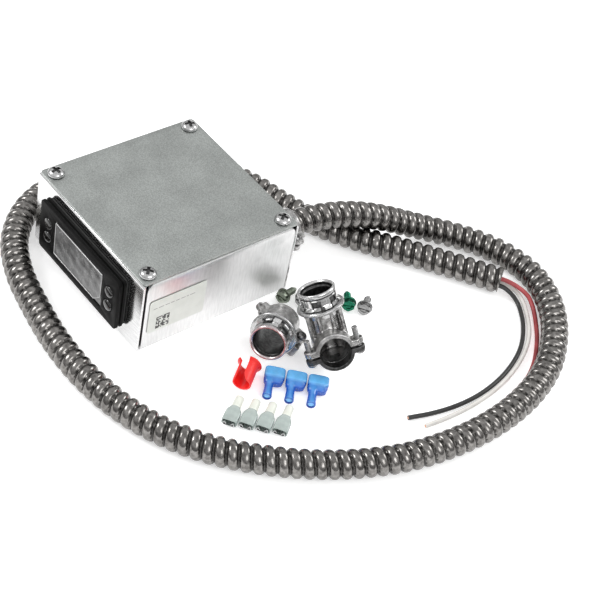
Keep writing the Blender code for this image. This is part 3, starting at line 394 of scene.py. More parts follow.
def paintInside(piece, finish, place, radius, low=-1.0, high=1.0):
    # a second finish for the faces within a radius of a place's axis
    piece.data.materials.append(finishes[finish])
    last = len(piece.data.materials) - 1
    local = place.inverted() @ piece.matrix_world
    for face in piece.data.polygons:
        spot = local @ face.center
        if Vector(spot[:2]).length < radius and low < spot.z < high:
            face.material_index = last


def aim(origin, axis, side=(0, 0, 1)):
    # a place whose +Z points along axis and whose +Y leans towards side
    z = Vector(axis).normalized()
    x = Vector(side).cross(z).normalized()
    y = z.cross(x)
    return Matrix.Translation(origin) @ Matrix((x, y, z)).transposed().to_4x4()


def box(name, size, centre, place=Matrix(), rounded=0.0, upright=None, steps=4):
    bm = bmesh.new()
    bmesh.ops.create_cube(bm, size=1)
    bmesh.ops.scale(bm, vec=size, verts=bm.verts)
    if upright:
        axis, radius = upright
        edges = [e for e in bm.edges if abs((e.verts[0].co - e.verts[1].co)[axis]) > size[axis] / 2]
        bmesh.ops.bevel(bm, geom=edges, offset=radius, segments=steps, affect="EDGES", profile=0.5)
    if rounded:
        bmesh.ops.bevel(bm, geom=bm.edges[:], offset=rounded, segments=3, affect="EDGES", profile=0.5)
    return linkMesh(name, bm, place @ Matrix.Translation(centre))


def rod(name, radius, length, centre, axis="Z", place=Matrix(), sides=64):
    bm = bmesh.new()
    bmesh.ops.create_cone(bm, cap_ends=True, segments=sides, radius1=radius, radius2=radius, depth=length)
    turns = {"X": Matrix.Rotation(math.pi / 2, 4, "Y"), "Y": Matrix.Rotation(-math.pi / 2, 4, "X"), "Z": Matrix()}
    return linkMesh(name, bm, place @ Matrix.Translation(centre) @ turns[axis])


def lathe(name, outline, place=Matrix(), sides=72, ring=False):
    # a turned shape about local Z; outline holds (radius, z) down the outer side
    bm = bmesh.new()
    rows = []
    for radius, z in outline:
        if radius < 1e-7:
            rows.append([bm.verts.new((0, 0, z))])
        else:
            angles = [2 * math.pi * step / sides for step in range(sides)]
            rows.append([bm.verts.new((radius * math.cos(a), radius * math.sin(a), z)) for a in angles])
    pairs = list(zip(rows, rows[1:])) + ([(rows[-1], rows[0])] if ring else [])
    for upper, lower in pairs:
        for step in range(sides):
            after = (step + 1) % sides
            corners = [upper[step % len(upper)], lower[step % len(lower)], lower[after % len(lower)],
                       upper[after % len(upper)]]
            bm.faces.new(dict.fromkeys(corners))
    return linkMesh(name, bm, place)


def roundOff(outline, radius, steps=3):
    # soften the inner corners of a turned outline with short arcs
    points = [Vector(point) for point in outline]
    soft = [points[0]]
    for before, corner, after in zip(points, points[1:], points[2:]):
        reach = min(radius, (before - corner).length * 0.45, (after - corner).length * 0.45)
        start = corner + (before - corner).normalized() * reach
        end = corner + (after - corner).normalized() * reach
        for step in range(steps + 1):
            t = step / steps
            soft.append(start * (1 - t) ** 2 + corner * 2 * t * (1 - t) + end * t * t)
    soft.append(points[-1])
    return [(max(point[0], 0.0), point[1]) for point in soft]


def refined(node, finish, bevel=0.25 * mm, body="root"):
    # a CAD node's own shape with soft edges
    bm = bmesh.new()
    bm.from_mesh(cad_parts[node].data)
    bmesh.ops.remove_doubles(bm, verts=bm.verts, dist=0.002 * mm)
    bmesh.ops.dissolve_limit(bm, angle_limit=math.radians(1), verts=bm.verts, edges=bm.edges)
    return finishPiece(linkMesh(node + "_fine", bm), finish, (node,), body, bevel=bevel)


# the conduit: one helical strip-wound tube that lies on the floor, with three conductors in it
conduitCord = {"diameter": 15.5, "pitch": 6.2, "groove": 2.0, "shade": 0.42, "inner": 5.2, "hollow": 14,
               "sides": 36, "perPitch": 13,
               "route": [
                   (29, 52.8, 24.25), (29, 66, 24.3), (30.8, 79, 24.6), (34.5, 93, 24.4), (39.5, 107, 22.6),
                   (45, 121, 18.6), (51, 134, 13.9), (59, 147, 10.2), (70, 159.5, 8.3), (84, 169.5, 7.9),
                   (100, 176, 7.9), (118, 177.5, 7.9), (135, 172.5, 7.9), (150, 163, 7.9), (163, 150, 7.9),
                   (174, 134.5, 7.9), (182, 116, 7.9), (187, 95, 7.9), (188.8, 73, 7.9), (187.5, 50, 7.9),
                   (183, 26, 7.9), (174, 2, 7.9), (162, -20, 7.9), (147, -40, 7.9), (129, -58, 7.9),
                   (108, -72, 7.9), (84, -81.5, 7.9), (58, -86, 7.9), (30, -86, 7.9), (2, -82, 7.9),
                   (-24, -76, 7.9), (-47, -65, 7.9), (-64.5, -46.5, 7.9), (-73.5, -23, 7.9), (-75.5, 2, 7.9),
                   (-71, 26, 7.9), (-60.5, 49, 7.9), (-44, 67, 7.9), (-22.5, 78.5, 7.9), (1, 85.5, 7.9),
                   (24, 94, 7.9), (46, 108, 7.9), (68, 125.5, 7.9), (90, 142.5, 7.9), (111, 157.5, 7.9)]}
conductors = {"diameter": 2.6, "sides": 16, "spacing": 2.5, "core": 1.5,
              "routes": {
                  "black": [(102.8, 148.4, 6.4), (113.5, 156.1, 6.4), (117.6, 158.6, 5), (122, 159.6, 3.4),
                            (127, 158.8, 2.1), (132, 156.2, 1.6), (138, 152, 1.6), (144.5, 146, 1.6),
                            (150.5, 139, 1.6), (155.5, 131, 1.6), (160, 121, 1.6), (163.5, 110, 1.6),
                            (165.8, 98, 1.6), (166.6, 86, 1.6), (165.8, 73, 1.6), (163.3, 60, 1.6),
                            (159.3, 47, 1.6)],
                  "white": [(100.6, 151.5, 5.7), (111.3, 159.2, 5.7), (115.6, 162.2, 4.8), (120.5, 163.8, 3.4),
                            (126, 163, 2.2), (132, 160, 1.6), (138, 156, 1.6), (144.5, 150.8, 1.6),
                            (150.5, 144.2, 1.6), (156, 136, 1.6), (161, 126, 1.6), (165, 115, 1.6),
                            (168, 103, 1.6), (169.8, 90, 1.6), (170.4, 77, 1.6), (169.8, 64, 1.6),
                            (168.3, 51.4, 1.6)],
                  "red": [(101.4, 150.3, 9.7), (112.1, 158, 9.7), (116.4, 161, 9), (121.5, 164, 7.4),
                          (127, 165.6, 5.4), (133, 164, 3.4), (139, 160.6, 2), (145, 156, 1.6), (151, 150.8, 1.6),
                          (157, 144.5, 1.6), (162.5, 138, 1.6), (167.5, 130.6, 1.6), (172, 121.5, 1.6),
                          (175.6, 111, 1.6), (178, 100, 1.6)]}}


def smoothRoute(route, spacing):
    # points one spacing apart on a cubic curve through the route's own points
    knots = [Vector(point) * mm for point in route]
    knots = [knots[0] * 2 - knots[1]] + knots + [knots[-1] * 2 - knots[-2]]
    dense = []
    for before, start, end, after in zip(knots, knots[1:], knots[2:], knots[3:]):
        for step in range(12):
            t = step / 12
            dense.append(0.5 * (2 * start + (end - before) * t + (2 * before - 5 * start + 4 * end - after) * t * t
                                + (3 * start - before - 3 * end + after) * t ** 3))
    dense.append(knots[-2])
    travelled = [0.0]
    for first, second in zip(dense, dense[1:]):
        travelled.append(travelled[-1] + (second - first).length)
    count = max(2, round(travelled[-1] / spacing))
    points, index = [], 0
    for number in range(count + 1):
        target = travelled[-1] * number / count
        while index < len(travelled) - 2 and travelled[index + 1] < target:
            index += 1
        share = (target - travelled[index]) / (travelled[index + 1] - travelled[index])
        points.append(dense[index].lerp(dense[index + 1], share))
    return points


def routeLength(points):
    return sum((second - first).length for first, second in zip(points, points[1:]))


def routeFrames(points):
    # a direction and a steady sideways and upward pair at each point of a route
    frames = []
    side = None
    for index, point in enumerate(points):
        way = (points[min(index + 1, len(points) - 1)] - points[max(index - 1, 0)]).normalized()
        if side is None:
            side = way.cross(Vector((0, 0, 1))).normalized()
        side = (side - way * side.dot(way)).normalized()
        frames.append((point, side, way.cross(side)))
    return frames


def skinRings(bm, rings):
    sides = len(rings[0])
    for lower, upper in zip(rings, rings[1:]):
        for step in range(sides):
            after = (step + 1) % sides
            bm.faces.new((lower[step], lower[after], upper[after], upper[step]))
    bm.faces.new(list(reversed(rings[0])))
    bm.faces.new(rings[-1])


def ridgeHeight(turn):
    # share of the groove's depth that is filled at this part of a turn: a broad round ridge and a thin lap line
    across = abs((turn % 1.0) * 2 - 1)
    ridge = max(0.0, 1 - (across / 0.84) ** 2.2) ** 0.5
    lap = 0.16 * math.exp(-((across - 1) / 0.05) ** 2)
    return max(ridge, lap)


def makeConduit():
    spec = conduitCord
    radius, groove = spec["diameter"] / 2 * mm, spec["groove"] * mm
    pitch, inner = spec["pitch"] * mm, spec["inner"] * mm
    spacing = pitch / spec["perPitch"]
    points = smoothRoute(spec["route"], spacing)
    frames = routeFrames(points)
    length = routeLength(points)
    step = length / (len(points) - 1)
    bm = bmesh.new()
    angles = [2 * math.pi * side / spec["sides"] for side in range(spec["sides"])]
    rings = []
    for index, (centre, side, up) in enumerate(frames):
        ring = []
        for angle in angles:
            turn = index * step / pitch - angle / (2 * math.pi)
            reach = radius - groove * (1 - ridgeHeight(turn))
            ring.append(bm.verts.new(centre + (side * math.cos(angle) + up * math.sin(angle)) * reach))
        rings.append(ring)
    back = round(spec["hollow"] * mm / step)
    for index, reach in ((-1, inner), (-1 - back, inner - 0.2 * mm)):   # the open end, bored out
        centre, side, up = frames[index]
        rings.append([bm.verts.new(centre + (side * math.cos(a) + up * math.sin(a)) * reach) for a in angles])
    skinRings(bm, rings)
    bmesh.ops.recalc_face_normals(bm, faces=bm.faces)
    tube = finishPiece(linkMesh("conduitTube", bm), "conduit", ("conduit",), angle=60)
    # painted shade: faces low in the grooves, and the faces of the bored end, take the darker groove finish
    tube.data.materials.append(finishes["groove"])
    sides = spec["sides"]
    for number in range((len(frames) - 1) * sides):
        turn = (number // sides + 0.5) * step / pitch - (number % sides + 0.5) / sides
        tube.data.polygons[number].material_index = int(ridgeHeight(turn) < spec["shade"])
    for face in list(tube.data.polygons)[(len(frames) - 1) * sides:]:
        face.material_index = 1
    print(f"conduit: {length * 1000:.0f} mm")


def roundTube(name, points, diameter, sides):
    bm = bmesh.new()
    angles = [2 * math.pi * side / sides for side in range(sides)]
    rings = []
    for centre, side, up in routeFrames(points):
        rings.append([bm.verts.new(centre + (side * math.cos(a) + up * math.sin(a)) * diameter / 2) for a in angles])
    skinRings(bm, rings)
    bmesh.ops.recalc_face_normals(bm, faces=bm.faces)
    return linkMesh(name, bm)


def makeConductors():
    spec = conductors
    diameter = spec["diameter"] * mm
    for colour, route in spec["routes"].items():
        points = smoothRoute(route, spec["spacing"] * mm)
        wire = roundTube(colour + "Conductor", points, diameter, spec["sides"])
        node = "tail_wire_" + colour
        finishPiece(wire, colour, (node,))
        way = (points[-1] - points[-2]).normalized()
        core = roundTube(colour + "Core", [points[-1] - way * mm, points[-1] + way * 0.08 * mm], spec["core"] * mm, 16)
        finishPiece(core, "copper")


# the box: a wrap of base, front and back, two side panels, and a flat cover
sheetBox = {"width": 100, "depth": 100, "top": 47.0, "sheet": 1.2, "bend": 1.3, "flange": 12, "seam": 1.5,
            "corner": 5.0, "cutout": (71, 29), "face": (0.5, 25.2), "knockout": 22.2, "exit": (29, 24.25),
            "screws": 43.6, "hole": 4.8, "lip": (22, 3.4)}
coverPlate = {"size": 99.6, "corner": 2.5, "bottom": 47.3, "top": 48.5, "edge": 0.3}
coverScrew = {"head": 9.4, "height": 2.9, "shank": 4.2, "length": 9, "recess": 1.8, "blade": 1.7,
              "turns": (12, 48, 71, 33)}


def bentStrip(name, corners, bend, thickness, length, place=Matrix()):
    # sheet metal: a line with round bends in local XY, as thick as the sheet, drawn out along local Z
    points = [Vector(corner).to_2d() for corner in corners]
    soft = [points[0]]
    for before, corner, after in zip(points, points[1:], points[2:]):
        inward, outward = (before - corner).normalized(), (after - corner).normalized()
        centre = corner + (inward + outward) * bend
        for step in range(7):
            t = step / 6 * math.pi / 2
            soft.append(centre - outward * bend * math.cos(t) - inward * bend * math.sin(t))
    soft.append(points[-1])
    bm = bmesh.new()
    rows = [[bm.verts.new((point[0], point[1], z)) for point in soft] for z in (-length / 2, length / 2)]
    skinRows(bm, rows)
    strip = linkMesh(name, bm, place)
    thicken(strip, thickness, even=True)
    return bake(strip)


def makeBox():
    spec = sheetBox
    half, top, sheet = spec["width"] / 2 * mm, spec["top"] * mm, spec["sheet"] * mm
    flange, bend, seam = spec["flange"] * mm, spec["bend"] * mm, spec["seam"] * mm
    faceX, faceZ = (value * mm for value in spec["face"])
    exitX, exitZ = (value * mm for value in spec["exit"])
    # the wrap's outline in (Y, Z), drawn out along X
    outline = [(-half + flange, top), (-half, top), (-half, 0), (half, 0), (half, top), (half - flange, top)]
    turn = Matrix(((0, 0, 1, 0), (1, 0, 0, 0), (0, 1, 0, 0), (0, 0, 0, 1)))
    wrap = bentStrip("boxWrap", outline, bend, sheet, 2 * half, turn)
    cutters = [box("faceHole", (spec["cutout"][0] * mm, 6 * sheet, spec["cutout"][1] * mm), (faceX, -half, faceZ)),
               rod("knockoutHole", spec["knockout"] / 2 * mm, 6 * sheet, (exitX, half, exitZ), axis="Y")]
    reach = spec["screws"] * mm
    for x in (-reach, reach):
        for y in (-reach, reach):
            cutters.append(rod("screwHole", spec["hole"] / 2 * mm, 6 * sheet, (x, y, top), sides=32))
    sideReach, backReach = half - sheet - seam, half - sheet - 0.3 * mm
    cutters += [box("sideStrip", (8 * sheet, 2 * (half - sheet), 2 * top), (side * (half + 2 * sheet), 0, top / 2))
                for side in (-1, 1)]
    combine(wrap, "DIFFERENCE", cutters)
    finishPiece(wrap, "walls", ("enclosure_body",), bevel=0.12 * mm)
    corner = spec["corner"] * mm
    lip, lipRun = (value * mm for value in spec["lip"])
    for name, side in (("leftPanel", -1), ("rightPanel", 1)):
        foot = half - 2 * sheet + 0.2 * mm
        path = [(side * foot, 0), (side * half, 0), (side * half, top), (side * (half - flange), top)]
        if side < 0:
            path.reverse()
        stand = Matrix(((1, 0, 0, 0), (0, 0, -1, 0), (0, 1, 0, 0), (0, 0, 0, 1)))
        stand.translation = (0, (backReach - sideReach) / 2, 0)
        panel = bentStrip(name, path, bend, sheet, backReach + sideReach, stand)
        trims = []
        for end in (-1, 1):
            y = backReach if end > 0 else -sideReach
            nose = box("nose", (40 * mm, 2 * corner, 2 * corner), (side * half, y, top))
            trims.append(combine(nose, "DIFFERENCE", [
                rod("noseRound", corner, 50 * mm, (side * half, y - end * corner, top - corner), axis="X")]))
            trims.append(box("lipEnd", (40 * mm, lip, lipRun), (side * (half - sheet - 20 * mm), y, top)))
        combine(panel, "DIFFERENCE", trims)
        finishPiece(panel, "panels", ("enclosure_body",), bevel=0.12 * mm)
    print("box: wrap and side panels")


def plateOutline(width, depth, radius, steps=8):
    points = []
    for cornerX, cornerY, start in ((1, 1, 0), (-1, 1, 90), (-1, -1, 180), (1, -1, 270)):
        for step in range(steps + 1):
            a = math.radians(start + 90 * step / steps)
            points.append((cornerX * (width / 2 - radius) + radius * math.cos(a),
                           cornerY * (depth / 2 - radius) + radius * math.sin(a)))
    return points


def slab(name, outline, low, high, place=Matrix(), edge=0.0, steps=3):
    # a flat outline in local XY as a solid from low to high, with its rims softened
    bm = bmesh.new()
    rings = []
    if edge:
        for base, direction in ((low, 1), (high, -1)):
            rows = []
            for step in range(steps + 1):
                a = math.pi / 2 * step / steps
                inset, rise = edge * (1 - math.sin(a)), edge * (1 - math.cos(a))
                rows.append((inset, base + direction * rise))
            rings.append(rows)
        levels = rings[0] + list(reversed(rings[1]))
    else:
        levels = [(0, low), (0, high)]
    normals = []
    for index, point in enumerate(outline):
        ahead = Vector(outline[(index + 1) % len(outline)]) - Vector(outline[index - 1])
        normals.append(Vector((ahead[1], -ahead[0])).normalized())
    rows = []
    for inset, z in levels:
        rows.append([bm.verts.new((point[0] - normal[0] * inset, point[1] - normal[1] * inset, z))
                     for point, normal in zip(outline, normals)])
    skinRings(bm, rows)
    bmesh.ops.recalc_face_normals(bm, faces=bm.faces)
    return linkMesh(name, bm, place)


def makeCover():
    spec = coverPlate
    size = spec["size"] * mm
    outline = plateOutline(size, size, spec["corner"] * mm)
    plate = slab("coverSheet", outline, spec["bottom"] * mm, spec["top"] * mm, edge=spec["edge"] * mm)
    reach = sheetBox["screws"] * mm
    holes = [rod("coverHole", sheetBox["hole"] / 2 * mm, 8 * mm, (x, y, spec["top"] * mm), sides=32)
             for x in (-reach, reach) for y in (-reach, reach)]
    combine(plate, "DIFFERENCE", holes)
    finishPiece(plate, "cover", ("cover_plate",), "cover")
    for index, (name, x, y) in enumerate((("front_left", -1, -1), ("front_right", 1, -1), ("back_left", -1, 1),
                                          ("back_right", 1, 1))):
        makeCoverScrew("cover_screw_" + name, x * reach, y * reach, coverScrew["turns"][index])
    print("cover and its screws")


def threaded(radius, low, high, pitch=0.8 * mm, depth=0.25 * mm):
    # outline steps of a threaded shank, from high down to low
    steps = []
    count = int((high - low) / pitch)
    for number in range(count):
        z = high - number * pitch
        steps += [(radius, z - 0.15 * pitch), (radius - depth, z - 0.55 * pitch)]
    return steps


def crossRecess(name, place, top, reach, blade, depth):
    # two tapered blades that cut a cross recess in a screw head
    blades = []
    for quarter in range(2):
        turn = place @ Matrix.Rotation(quarter * math.pi / 2, 4, "Z")
        blades.append(box(f"{name}Blade{quarter}", (2 * reach, blade, 2 * depth), (0, 0, top), turn, rounded=0.15 * mm))
    return blades


def makeCoverScrew(node, x, y, turn):
    spec = coverScrew
    head, height, shank = spec["head"] / 2 * mm, spec["height"] * mm, spec["shank"] / 2 * mm
    place = Matrix.Translation((x, y, coverPlate["top"] * mm + 0.3 * mm)) @ Matrix.Rotation(math.radians(turn), 4, "Z")
    outline = [(0, height), (head * 0.42, height * 0.95), (head * 0.74, height * 0.76), (head * 0.93, height * 0.46),
               (head, height * 0.16), (head * 0.98, 0), (shank, 0)]
    outline = roundOff(outline, 0.5 * mm) + threaded(shank, -spec["length"] * mm, -0.6 * mm)
    outline.append((0, -spec["length"] * mm))
    screw = lathe(node + "Fine", outline, place)
    combine(screw, "DIFFERENCE", crossRecess(node, place, height, head * 0.6, spec["blade"] * mm, spec["recess"] * mm))
    finishPiece(screw, "zinc", (node,), "cover", bevel=0.06 * mm)
    # painted shade in the cross recess
    paintInside(screw, "darkCast", place, head * 0.64, 0.4 * mm, height - 0.75 * mm)


# the controller's face, in a frame whose +Z stands out of the box's front wall and whose +Y is up
facePanel = {"at": (0.5, -50, 25.2), "size": (75, 33), "corner": 2.2, "frame": (4.1, 6.3), "rim": (1.4, 3.0),
             "groove": (0.9, 3.8), "edge": 0.45, "window": (46, 23), "lens": (4.6, 5.9), "film": (44.4, 21.6),
             "filmAt": 6.15, "filmThick": 0.08, "chamfer": 5.5, "gap": 0.3, "module": 43.0}
faceKey = {"radius": 3.5, "reach": 29.3, "pitch": 9.4, "proud": 1.1, "foot": -1.6, "hole": 3.8}
sideLabel = {"at": (50.3, -27, 23), "size": (36, 23), "corner": 1.6, "thick": 0.25, "markCells": 11, "markSize": 8.4,
             "markAt": (-8.6, -5.6), "barAt": (-15.4, 5.4), "barRun": 25.0, "barTall": 1.7}


def makeFace():
    spec = facePanel
    place = aim(Vector(spec["at"]) * mm, (0, -1, 0))
    width, height = (value * mm for value in spec["size"])
    corner, edge, gap = spec["corner"] * mm, spec["edge"] * mm, spec["gap"] * mm
    outline = plateOutline(width, height, corner)
    windowWidth, windowHeight = (value * mm for value in spec["window"])
    front = slab("faceFrame", outline, spec["frame"][0] * mm, spec["frame"][1] * mm, place, edge)
    cutters = [slab("windowHole", plateOutline(windowWidth + 2 * gap, windowHeight + 2 * gap, 0.8 * mm), 2 * mm,
                    8 * mm, place)]
    reach, pitch = faceKey["reach"] * mm, faceKey["pitch"] / 2 * mm
    keyPlaces = {"key_upper_left": (-reach, pitch), "key_lower_left": (-reach, -pitch),
                 "key_upper_right": (reach, pitch), "key_lower_right": (reach, -pitch)}
    for x, y in keyPlaces.values():
        cutters.append(rod("keyHole", faceKey["hole"] * mm, 6 * mm, (x, y, spec["frame"][1] * mm), place=place))
    combine(front, "DIFFERENCE", cutters)
    finishPiece(front, "face", ("fascia_frame",), bevel=0.1 * mm)
    rim = slab("faceRim", outline, spec["rim"][0] * mm, spec["rim"][1] * mm, place, edge)
    inset, grooveTop = (value * mm for value in spec["groove"])
    core = slab("faceCore", plateOutline(width - 2 * inset, height - 2 * inset, corner), spec["rim"][1] * mm - mm,
                grooveTop, place)
    combine(rim, "UNION", [core])
    module = spec["module"] * mm
    opening = (module + 2 * gap, windowHeight - 2.4 * mm, 20 * mm)
    combine(rim, "DIFFERENCE", [box("moduleHole", opening, (0, 0, 0), place)])
    finishPiece(rim, "face", ("fascia_rim",))
    lens = slab("windowLens", plateOutline(windowWidth, windowHeight, 0.6 * mm), spec["lens"][0] * mm,
                spec["lens"][1] * mm, place, 0.2 * mm)
    finishPiece(lens, "lens", ("display_lens",))
    makeFilm(place)
    for node, (x, y) in keyPlaces.items():
        radius, proud, foot = (faceKey[name] * mm for name in ("radius", "proud", "foot"))
        dome = roundOff([(0, proud), (radius * 0.5, proud * 0.94), (radius * 0.85, proud * 0.6), (radius, 0),
                         (radius, foot), (0, foot)], 0.5 * mm)
        key = lathe(node + "Cap", dome, place @ Matrix.Translation((x, y, spec["frame"][1] * mm)))
        finishPiece(key, "key", (node,), node)
    print("face, window and keys")


def makeFilm(place):
    # the wrinkled film that still covers the window, with a pale rim and one corner cut across
    spec = facePanel
    width, height = (value * mm for value in spec["film"])
    base, chamfer = spec["filmAt"] * mm, spec["chamfer"] * mm
    bm = bmesh.new()
    across, down = 60, 30
    rows = []
    for row in range(down + 1):
        y = height * (row / down - 0.5)
        line = []
        for column in range(across + 1):
            x = width * (column / across - 0.5)
            cut = max(0.0, (x - y) - (width / 2 + height / 2 - chamfer))
            rim = min(width / 2 - abs(x), height / 2 - abs(y)) / mm
            ripple = 0.1 * math.sin(x * 420 + y * 300) * math.sin(y * 510 - x * 130) + 0.05 * math.sin(x * 900)
            lift = 0.14 * math.exp(-rim / 0.6)
            line.append(bm.verts.new((x - cut / 2, y + cut / 2, base + (ripple * min(1, rim / 2) + lift) * mm)))
        rows.append(line)
    skinRows(bm, rows)
    film = linkMesh("windowFilm", bm, place)
    thicken(film, spec["filmThick"] * mm)
    bake(film)
    finishPiece(film, "film", angle=60)
    rimPoints = [(-width / 2, -height / 2), (width / 2 - chamfer, -height / 2), (width / 2, chamfer - height / 2),
                 (width / 2, height / 2), (-width / 2, height / 2), (-width / 2, -height / 2)]
    line = [place @ Vector((x, y, base + 0.16 * mm)) for x, y in rimPoints]
    dense = [first.lerp(second, step / 8) for first, second in zip(line, line[1:]) for step in range(8)]
    rim = roundTube("filmRim", dense + [line[-1]], 0.5 * mm, 10)
    finishPiece(rim, "filmRim")


def makeLabel():
    spec = sideLabel
    place = aim(Vector(spec["at"]) * mm, (1, 0, 0))
    width, height = (value * mm for value in spec["size"])
    thick = spec["thick"] * mm
    sticker = slab("sideLabel", plateOutline(width, height, spec["corner"] * mm), 0, thick, place, 0.08 * mm)
    finishPiece(sticker, "label", ("label_plate",))
    cell = spec["markSize"] * mm / spec["markCells"]
    draw = random.Random(7)
    bm = bmesh.new()

    def tile(x, y, wide, tall):
        corners = [bm.verts.new((x + dx, y + dy, thick + 0.02 * mm)) for dx, dy in
                   ((0, 0), (wide, 0), (wide, tall), (0, tall))]
        bm.faces.new(corners)
    cells = spec["markCells"]
    for row in range(cells):
        for column in range(cells):
            if column in (0, cells - 1) and row % 2 == 0 or draw.random() < 0.5:
                x = spec["markAt"][0] * mm + (column - cells / 2) * cell
                y = spec["markAt"][1] * mm + (row - cells / 2) * cell
                tile(x, y, cell * 1.02, cell * 1.02)
    mark = linkMesh("labelPattern", bm, place)
    finishPiece(mark, "ink")
    bm = bmesh.new()
    x = spec["barAt"][0] * mm
    end = x + spec["barRun"] * mm
    while x < end:
        wide = draw.uniform(1.2, 3.4) * mm
        tile(x, spec["barAt"][1] * mm, wide, spec["barTall"] * 0.28 * mm)
        x += wide + 0.8 * mm
    bars = linkMesh("labelDashes", bm, place)
    finishPiece(bars, "paleInk")
    print("label with a plain pattern")


# the controller's case and the parts behind its face
insideParts = {"controller_case": ("case", "black_plastic"), "case_rear_cover": ("case", "black_plastic"),
               "panel_clip_left": ("case", "black_plastic"), "panel_clip_right": ("case", "black_plastic"),
               "panel_gasket": ("gasket", "rubber"), "display_module": ("key", "glossy_black"),
               "control_board": ("board", "board_green"), "relay": ("relay", "relay_blue"),
               "transformer": ("core", "lamination"),
               "supply_wire_black": ("black", "wire_black"), "supply_wire_white": ("white", "wire_white"),
               "supply_wire_red": ("red", "wire_red")}
terminalRow = {"count": 8, "pitch": 6.6, "screw": 1.9, "mouth": (3.6, 3.2)}


def makeInside():
    for node, (finish, slotName) in insideParts.items():
        refined(node, finish, bevel=0.0 if "wire" in node else 0.3 * mm)
    low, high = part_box("terminal_block")
    centre = (low + high) / 2
    spec = terminalRow
    block = box("terminalStrip", high - low, centre, rounded=0.4 * mm)
    cutters, screws = [], []
    for number in range(spec["count"]):
        x = centre.x + (number - (spec["count"] - 1) / 2) * spec["pitch"] * mm
        cutters.append(box("wireMouth", (spec["mouth"][0] * mm, 8 * mm, spec["mouth"][1] * mm),
                           (x, high.y, centre.z - 2.6 * mm)))
        cutters.append(rod("screwWell", spec["screw"] * 1.2 * mm, 8 * mm, (x, high.y, centre.z + 3.4 * mm), axis="Y",
                           sides=24))
        place = aim((x, high.y - 2.6 * mm, centre.z + 3.4 * mm), (0, 1, 0))
        radius, top = spec["screw"] * mm, 0.9 * mm
        outline = roundOff([(0, top), (radius, top), (radius, -mm), (0, -mm)], 0.3 * mm)
        screw = lathe(f"terminalScrew{number}", outline, place, 24)
        combine(screw, "DIFFERENCE", [box("driverSlot", (6 * mm, 0.5 * mm, 1.2 * mm), (0, 0, 0.9 * mm), place)])
        screws.append(screw)
    combine(block, "DIFFERENCE", cutters)
    finishPiece(block, "board", ("terminal_block",), bevel=0.12 * mm)
    for screw in screws:
        finishPiece(screw, "zinc")
    print("controller's inside")


# clamp connectors, all with the same grip; lengths in millimetres
grip = {"bore": 16.4, "shell": 10.6, "strap": 10.2, "gap": 1.2, "ear": 16.0, "screw": 13.0, "lowerEar": 3.2,
        "upperEar": 2.6, "hole": 3.8, "earCorner": 1.0}
throat = {"outer": 20.6, "bore": 16.4, "neck": 9.5, "neckRadius": 9.1, "lip": 2.8, "collar": 25.5, "body": 10.2}
springRing = {"inner": 9.45, "thick": 0.5, "windows": 6, "windowShare": 0.52, "windowSpan": (0.3, 0.86), "flare": 1.3,
              "sides": 144, "rows": 16, "slit": 0.09}
clampScrew = {"head": 2.9, "height": 2.2, "shank": 1.6, "slot": 0.9}
castSkin = {"voxel": 0.32, "rounds": 5}


def castPiece(piece, finish, stands, voxel=None):
    # round off a cast piece all over, as a mould leaves it
    skin = piece.modifiers.new("skin", "REMESH")
    skin.mode = "VOXEL"
    skin.voxel_size = (voxel or castSkin["voxel"]) * mm
    ease = piece.modifiers.new("ease", "SMOOTH")
    ease.factor = 0.5
    ease.iterations = castSkin["rounds"]
    bake(piece)
    return finishPiece(piece, finish, stands, angle=60)


def clampHalf(name, place, length, lower, root=0.0):
    # half of a clamp along local -Z, with its two ears; the lower half is the one cast with the body
    gap, ear = grip["gap"] / 2 * mm, (grip["lowerEar"] if lower else grip["upperEar"]) * mm
    outer = (grip["shell"] if lower else grip["strap"]) * mm
    side = -1 if lower else 1
    half = rod(name, outer, length + root, (0, 0, (root - length) / 2), place=place, sides=72)
    ears = box(name + "Ears", (2 * (grip["screw"] + 0.4) * mm, ear, length), (0, side * (gap + ear / 2), -length / 2),
               place, upright=(2, grip["earCorner"] * mm))
    reach = (grip["ear"] - grip["screw"]) * mm
    lobes = [rod(name + "Lobe", reach, ear, (end * grip["screw"] * mm, side * (gap + ear / 2), -length / 2), axis="Y",
                 place=place, sides=32) for end in (-1, 1)]
    combine(half, "UNION", [ears] + lobes)
    cutters = [box(name + "Half", (4 * outer, 2 * outer, 4 * length), (0, side * (gap - outer), 0), place)]
    if not lower:
        cutters.append(rod(name + "Bore", grip["bore"] / 2 * mm, 6 * length, (0, 0, 0), place=place, sides=72))
    for end in (-1, 1):
        cutters.append(rod(name + "Hole", grip["hole"] / 2 * mm, 20 * mm, (end * grip["screw"] * mm, 0, -length / 2),
                           axis="Y", place=place, sides=32))
    return combine(half, "DIFFERENCE", cutters)


def earScrew(node, place, side, gripLength, length):
    # a slotted clamp screw: its head stands on the strap's ear and its thread runs through both ears
    spec = clampScrew
    seat = (grip["gap"] / 2 + grip["upperEar"] + 0.3) * mm
    stand = place @ Matrix.Translation((side * grip["screw"] * mm, seat, -gripLength / 2))
    stand = stand @ Matrix.Rotation(-math.pi / 2, 4, "X")
    head, height, shank = (spec[name] * mm for name in ("head", "height", "shank"))
    outline = roundOff([(0, height), (head * 0.6, height * 0.92), (head * 0.92, height * 0.5), (head, 0), (shank, 0)],
                       0.4 * mm)
    outline += threaded(shank, -length * mm, -0.5 * mm, 0.7 * mm, 0.22 * mm) + [(0, -length * mm)]
    screw = lathe(node + "Fine", outline, stand, 48)
    combine(screw, "DIFFERENCE", [box("slot", (8 * mm, spec["slot"] * mm, 1.6 * mm), (0, 0, height), stand)])
    finishPiece(screw, "dullZinc", (node,), bevel=0.05 * mm)


